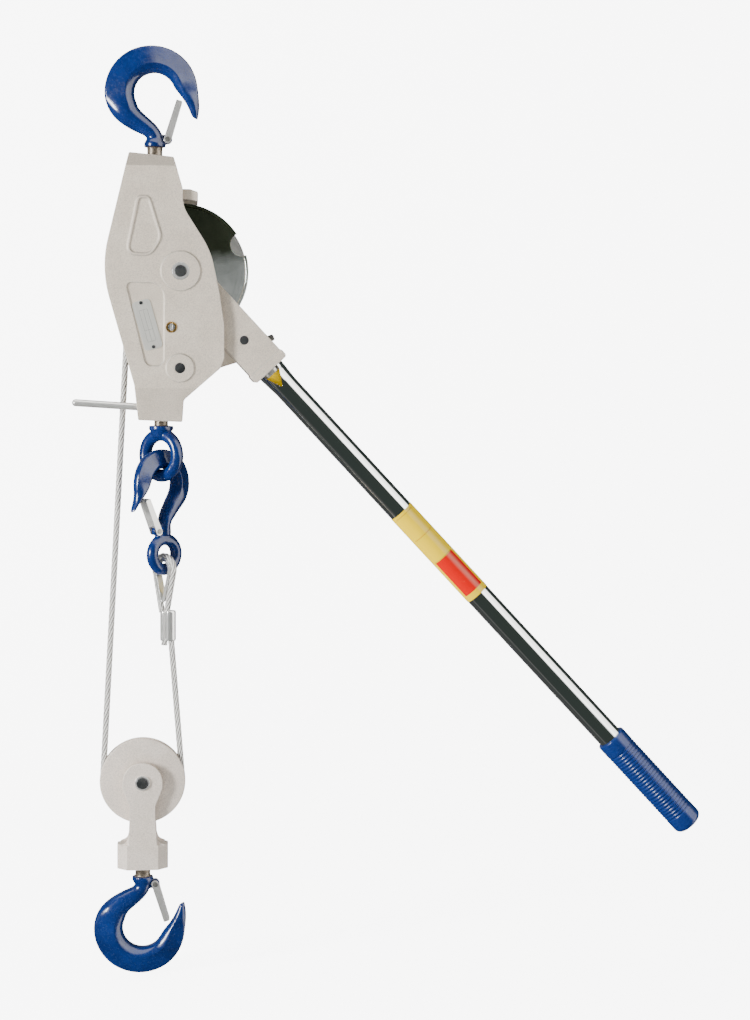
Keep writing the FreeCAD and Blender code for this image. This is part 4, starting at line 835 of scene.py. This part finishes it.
def grip():
    """Ribbed grip with a plain collar and a rounded closed end."""
    start, end, outer, inner = 638.5, 762.0, 15.7, 12.65
    collar, cap, pitch, valley = 15.0, 17.0, 3.6, 0.95
    profile = [(start, inner), (start, outer - 1.15), (start + 0.35, outer - 0.5),
               (start + 1.1, outer - 0.1), (start + 2.2, outer)]
    ribs = int(round((end - cap - start - collar) / pitch))
    step = (end - cap - start - collar) / ribs
    for rib in range(ribs):
        at = start + collar + rib * step
        for share, depth in ((0.0, 0.0), (0.12, 0.12), (0.22, 0.5), (0.32, 0.9), (0.44, 1.0),
                             (0.56, 0.9), (0.66, 0.5), (0.76, 0.12), (0.88, 0.0)):
            profile.append((at + share * step, outer - depth * valley))
    profile.append((end - cap, outer))
    corner = 6.0
    for angle in np.linspace(0, math.pi / 2, 14):
        profile.append((end - corner + corner * math.sin(angle),
                        outer - corner + corner * math.cos(angle)))
    profile += [(end, 4.0), (end, 0.0), (end - 7.5, 0.0), (end - 7.5, inner)]
    mesh = lathe("grip", profile, HANDLE)
    add_piece("grip_sleeve", mesh, "grip", "grip", "handle", "handle_grip")


def sheave():
    """Plain-faced sheave with soft rims and a groove that fits the rope."""
    half, rim, bore, groove = 6.0, 42.5, 9.05, 36.05
    side = [(half, bore), (half, rim - 1.2), (half - 0.12, rim - 0.7), (half - 0.4, rim - 0.25),
            (half - 0.9, rim), (half - 1.3, rim - 0.1), (4.1, 39.6), (3.4, 37.7),
            (2.6, 36.5), (1.4, groove)]
    profile = [(-x, radius) for x, radius in side] + side[::-1]
    place = Matrix.Translation(SHEAVE) @ Matrix.Rotation(math.pi / 2, 4, "Z")
    mesh = lathe("sheave", profile, place, 144)
    add_piece("sheave_wheel", mesh, "block", "block_casting", "sheave", "sheave")


# Look, edge radius and any play in mm of every node that keeps its CAD shape.
FINISHES = {
    "stop_block": ("casting", 0.5),
    "front_disc": ("disc", 0.25), "drum_core": ("zinc", 0.3), "ratchet_wheel": ("steel", 0.25),
    "drum_rivets": ("zinc", 0.4), "hub_spacers": ("steel", 0.2),
    "drum_shaft": ("dark_steel", 0.4), "shaft_bushes": ("zinc", 0.3), "shaft_clips": ("steel", 0.1),
    "frame_screws": ("steel", 0.3), "name_plate": ("plate", 0.12),
    "name_plate_rivets": ("dark_steel", 0.3), "drag_screw": ("drag_brass", 0.25),
    "drag_plunger": ("steel", 0.3), "holding_pawl": ("steel", 0.3),
    "holding_pawl_pin": ("dark_steel", 0.4), "lever_pivot_pin": ("steel", 0.3),
    "reversing_lever": ("zinc", 0.3), "drive_pawl": ("steel", 0.3),
    "drive_pawl_pin": ("dark_steel", 0.4), "handle_tube": ("chrome", 0.15),
    "handle_tongue": ("zinc", 0.4), "overload_cone": ("yellow", 0.2),
    "handle_roll_pin": ("steel", 0.2), "handle_label": ("label", 0.05),
    "top_hook_nut": ("steel", 0.5), "bottom_hook_nut": ("steel", 0.5),
    "swivel_eye_nut": ("steel", 0.5), "top_hook_latch": ("zinc", 0.25),
    "bottom_hook_latch": ("zinc", 0.25), "cable_hook_latch": ("zinc", 0.25),
    "top_hook_latch_pin": ("steel", 0.2, 0.12), "bottom_hook_latch_pin": ("steel", 0.2, 0.12),
    "cable_hook_latch_pin": ("steel", 0.2, 0.12), "sheave_pin": ("dark_steel", 0.5),
    "sheave_pin_rings": ("zinc", 0.3), "sheave_bush": ("brass", 0.3),
}
SPRINGS = ("drag_spring", "holding_pawl_spring", "drive_pawl_spring", "top_hook_latch_spring",
           "bottom_hook_latch_spring", "cable_hook_latch_spring")

for node_name, finish in FINISHES.items():
    finished(node_name, *finish)
for node_name in SPRINGS:
    spring_mesh = frame["nodes"][node_name].data
    spring_mesh.materials.clear()
    spring_mesh.materials.append(MATERIALS["steel"])
TOP_BOWL = Matrix.Identity(4)
LOW_BOWL = Matrix.Translation(DRUM + Vector((-37.5, 0, -653.0)) * MM) @ Matrix.Rotation(
    math.pi, 4, "X")
CABLE_BOWL = Matrix.Translation(DRUM + Vector((-19.0, 0, -207.0)) * MM) @ Matrix.Rotation(
    math.radians(220), 4, "Z")
forged("top_hook", "blue_top", TOP_BOWL, seed=0)
forged("bottom_hook", "blue_low", LOW_BOWL, seed=1)
forged("cable_hook", "blue", CABLE_BOWL, seed=2)
forged("swivel_eye", "blue_eye", voxel=0.5, rounds=4, seed=3,
       slim_above=EYE_COLLAR + 0.2 * MM)
for node_name in ("front_frame", "rear_frame", "yoke"):
    forged(node_name, "casting", voxel=0.5, rounds=3, lump=0.04, keep=0.2)
forged("block_clevis", "block", voxel=0.5, rounds=3, lump=0.02, keep=0.25)
rope_runs()
rope_end()
ferrule()
grip()
sheave()


# ------------------------------------------------------------------ studio

def studio_sweep():
    """Pale floor that curves up into a wall behind the hoist."""
    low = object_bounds()[0].z - 2 * MM
    bend, depth, height = 0.9, 1.6, 3.2
    profile = [(-3.6, low), (depth - bend, low)]
    for angle in np.linspace(0, math.pi / 2, 24):
        profile.append((depth - bend + bend * math.sin(angle), low + bend - bend * math.cos(angle)))
    profile.append((depth, height))
    verts = [(x, y, z) for y, z in profile for x in (-4.5, 4.5)]
    faces = [(2 * k, 2 * k + 1, 2 * k + 3, 2 * k + 2) for k in range(len(profile) - 1)]
    sweep_piece = bpy.data.objects.new("studio_sweep", numpy_mesh("studio_sweep", verts, faces))
    bpy.context.scene.collection.objects.link(sweep_piece)
    sweep_piece.data.materials.append(studio_paper())
    sweep_piece.visible_glossy = False
    sweep_piece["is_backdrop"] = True


def studio_world():
    """Soft light, dim from above, and cards of light that only reflections see."""
    world = bpy.data.worlds.new("studio")
    world.use_nodes = True
    bpy.context.scene.world = world
    tree = world.node_tree
    nodes, links = tree.nodes, tree.links
    back = nodes["Background"]

    def calc(operation, first, second=0.0):
        made = nodes.new("ShaderNodeMath")
        made.operation = operation
        for key, value in ((0, first), (1, second)):
            if isinstance(value, bpy.types.NodeSocket):
                links.new(value, made.inputs[key])
            else:
                made.inputs[key].default_value = value
        return made.outputs[0]

    def ramp(value, stops):
        made = nodes.new("ShaderNodeValToRGB")
        links.new(value, made.inputs[0])
        band = made.color_ramp
        while len(band.elements) < len(stops):
            band.elements.new(0.5)
        for element, (position, level) in zip(band.elements, stops):
            element.position = position
            element.color = (*level, 1.0)
        return made.outputs[0]

    direction = nodes.new("ShaderNodeTexCoord").outputs["Generated"]
    parts = nodes.new("ShaderNodeSeparateXYZ")
    links.new(direction, parts.inputs[0])
    x, y, z = parts.outputs
    across = calc("ADD", calc("MULTIPLY", x, math.sin(HANDLE_TILT)),
                  calc("MULTIPLY", z, math.cos(HANDLE_TILT)))
    turn = calc("ARCTAN2", across, calc("MULTIPLY", y, -1.0))
    share = calc("ADD", calc("MULTIPLY", turn, 1 / math.tau), 0.5)
    dark, dim = (0.075, 0.095, 0.085), (0.12, 0.13, 0.125)
    mid, white = (0.5, 0.5, 0.49), (6.0, 5.9, 5.75)
    cards = ramp(share, [
        (0.00, mid), (0.10, dim), (0.275, dim), (0.283, mid), (0.290, dim), (0.34, dark),
        (0.590, dark), (0.605, white), (0.745, white), (0.757, dark), (0.93, dark), (1.0, mid)])
    along = calc("SUBTRACT", calc("MULTIPLY", x, math.cos(HANDLE_TILT)),
                 calc("MULTIPLY", z, math.sin(HANDLE_TILT)))
    low_card = calc("MULTIPLY", calc("LESS_THAN", z, 0.045), calc("LESS_THAN", along, 0.015))
    low_card = calc("MULTIPLY", low_card, calc("LESS_THAN", calc("ABSOLUTE", turn), 0.2))
    sky = ramp(calc("ADD", calc("MULTIPLY", z, 0.5), 0.5),
               [(0.0, (0.85, 0.845, 0.83)), (0.5, (1.0, 1.0, 1.0)), (0.62, (0.8, 0.8, 0.8)),
                (0.9, (0.25, 0.25, 0.25))])
    ray = nodes.new("ShaderNodeLightPath")
    pick = nodes.new("ShaderNodeMix")
    pick.data_type = "RGBA"
    links.new(ray.outputs["Is Glossy Ray"], pick.inputs[0])
    links.new(sky, pick.inputs[6])
    lit = nodes.new("ShaderNodeMix")
    lit.data_type = "RGBA"
    links.new(low_card, lit.inputs[0])
    links.new(cards, lit.inputs[6])
    lit.inputs[7].default_value = (0.8, 0.82, 0.82, 1.0)
    links.new(lit.outputs[2], pick.inputs[7])
    seen = nodes.new("ShaderNodeMix")
    seen.data_type = "RGBA"
    links.new(ray.outputs["Is Camera Ray"], seen.inputs[0])
    links.new(pick.outputs[2], seen.inputs[6])
    seen.inputs[7].default_value = (12.0, 12.0, 12.0, 1.0)
    links.new(seen.outputs[2], back.inputs["Color"])
    back.inputs["Strength"].default_value = 0.6


def soft_light(name, place, target, size, power):
    """A square soft box that faces a point."""
    light = bpy.data.lights.new(name, "AREA")
    light.shape = "RECTANGLE"
    light.size, light.size_y = size
    light.energy = power
    lamp = bpy.data.objects.new(name, light)
    bpy.context.scene.collection.objects.link(lamp)
    lamp.location = place
    lamp.rotation_euler = (Vector(target) - Vector(place)).to_track_quat("-Z", "Y").to_euler()
    lamp.visible_camera = False
    return lamp


# Where the camera stands, what it looks at, how far it leans and how long its lens is.
CAMERA_EYE = Vector((0.0221, -2.0, -0.2662))
CAMERA_AIM = Vector((0.2186, 0.0, -0.4072))
CAMERA_ROLL = math.radians(0.4)
CAMERA_LENS = 96.7


def camera():
    """A viewpoint level with the frame, far off, through a long lens."""
    eye, aim, roll = CAMERA_EYE, CAMERA_AIM, CAMERA_ROLL
    ahead = (aim - eye).normalized()
    right = ahead.cross(UPRIGHT).normalized()
    above = right.cross(ahead)
    tilted = right * math.cos(roll) + above * math.sin(roll)
    upward = above * math.cos(roll) - right * math.sin(roll)
    data = bpy.data.cameras.new("camera")
    data.lens = CAMERA_LENS
    data.sensor_width = 36.0
    data.sensor_fit = "HORIZONTAL"
    data.clip_end = 50.0
    held = bpy.data.objects.new("camera", data)
    bpy.context.scene.collection.objects.link(held)
    held.matrix_world = Matrix((
        (tilted.x, upward.x, -ahead.x, eye.x), (tilted.y, upward.y, -ahead.y, eye.y),
        (tilted.z, upward.z, -ahead.z, eye.z), (0, 0, 0, 1)))
    bpy.context.scene.camera = held


# Place and target in m, size in m and power in W of every soft box.
CENTRE = (0.05, 0.0, -0.35)
SOFT_BOXES = {
    "key_left": ((-1.9, -1.25, -0.1), CENTRE, (0.45, 0.75), 80),
    "fill_right": ((1.9, -1.6, 0.3), CENTRE, (1.0, 1.6), 6),
    "wall_wash": ((0.2, 0.3, 2.6), (0.2, 1.5, -0.4), (3.0, 1.0), 18),
}

studio_sweep()
studio_world()
for light_name, settings in SOFT_BOXES.items():
    soft_light(light_name, *settings)
camera()
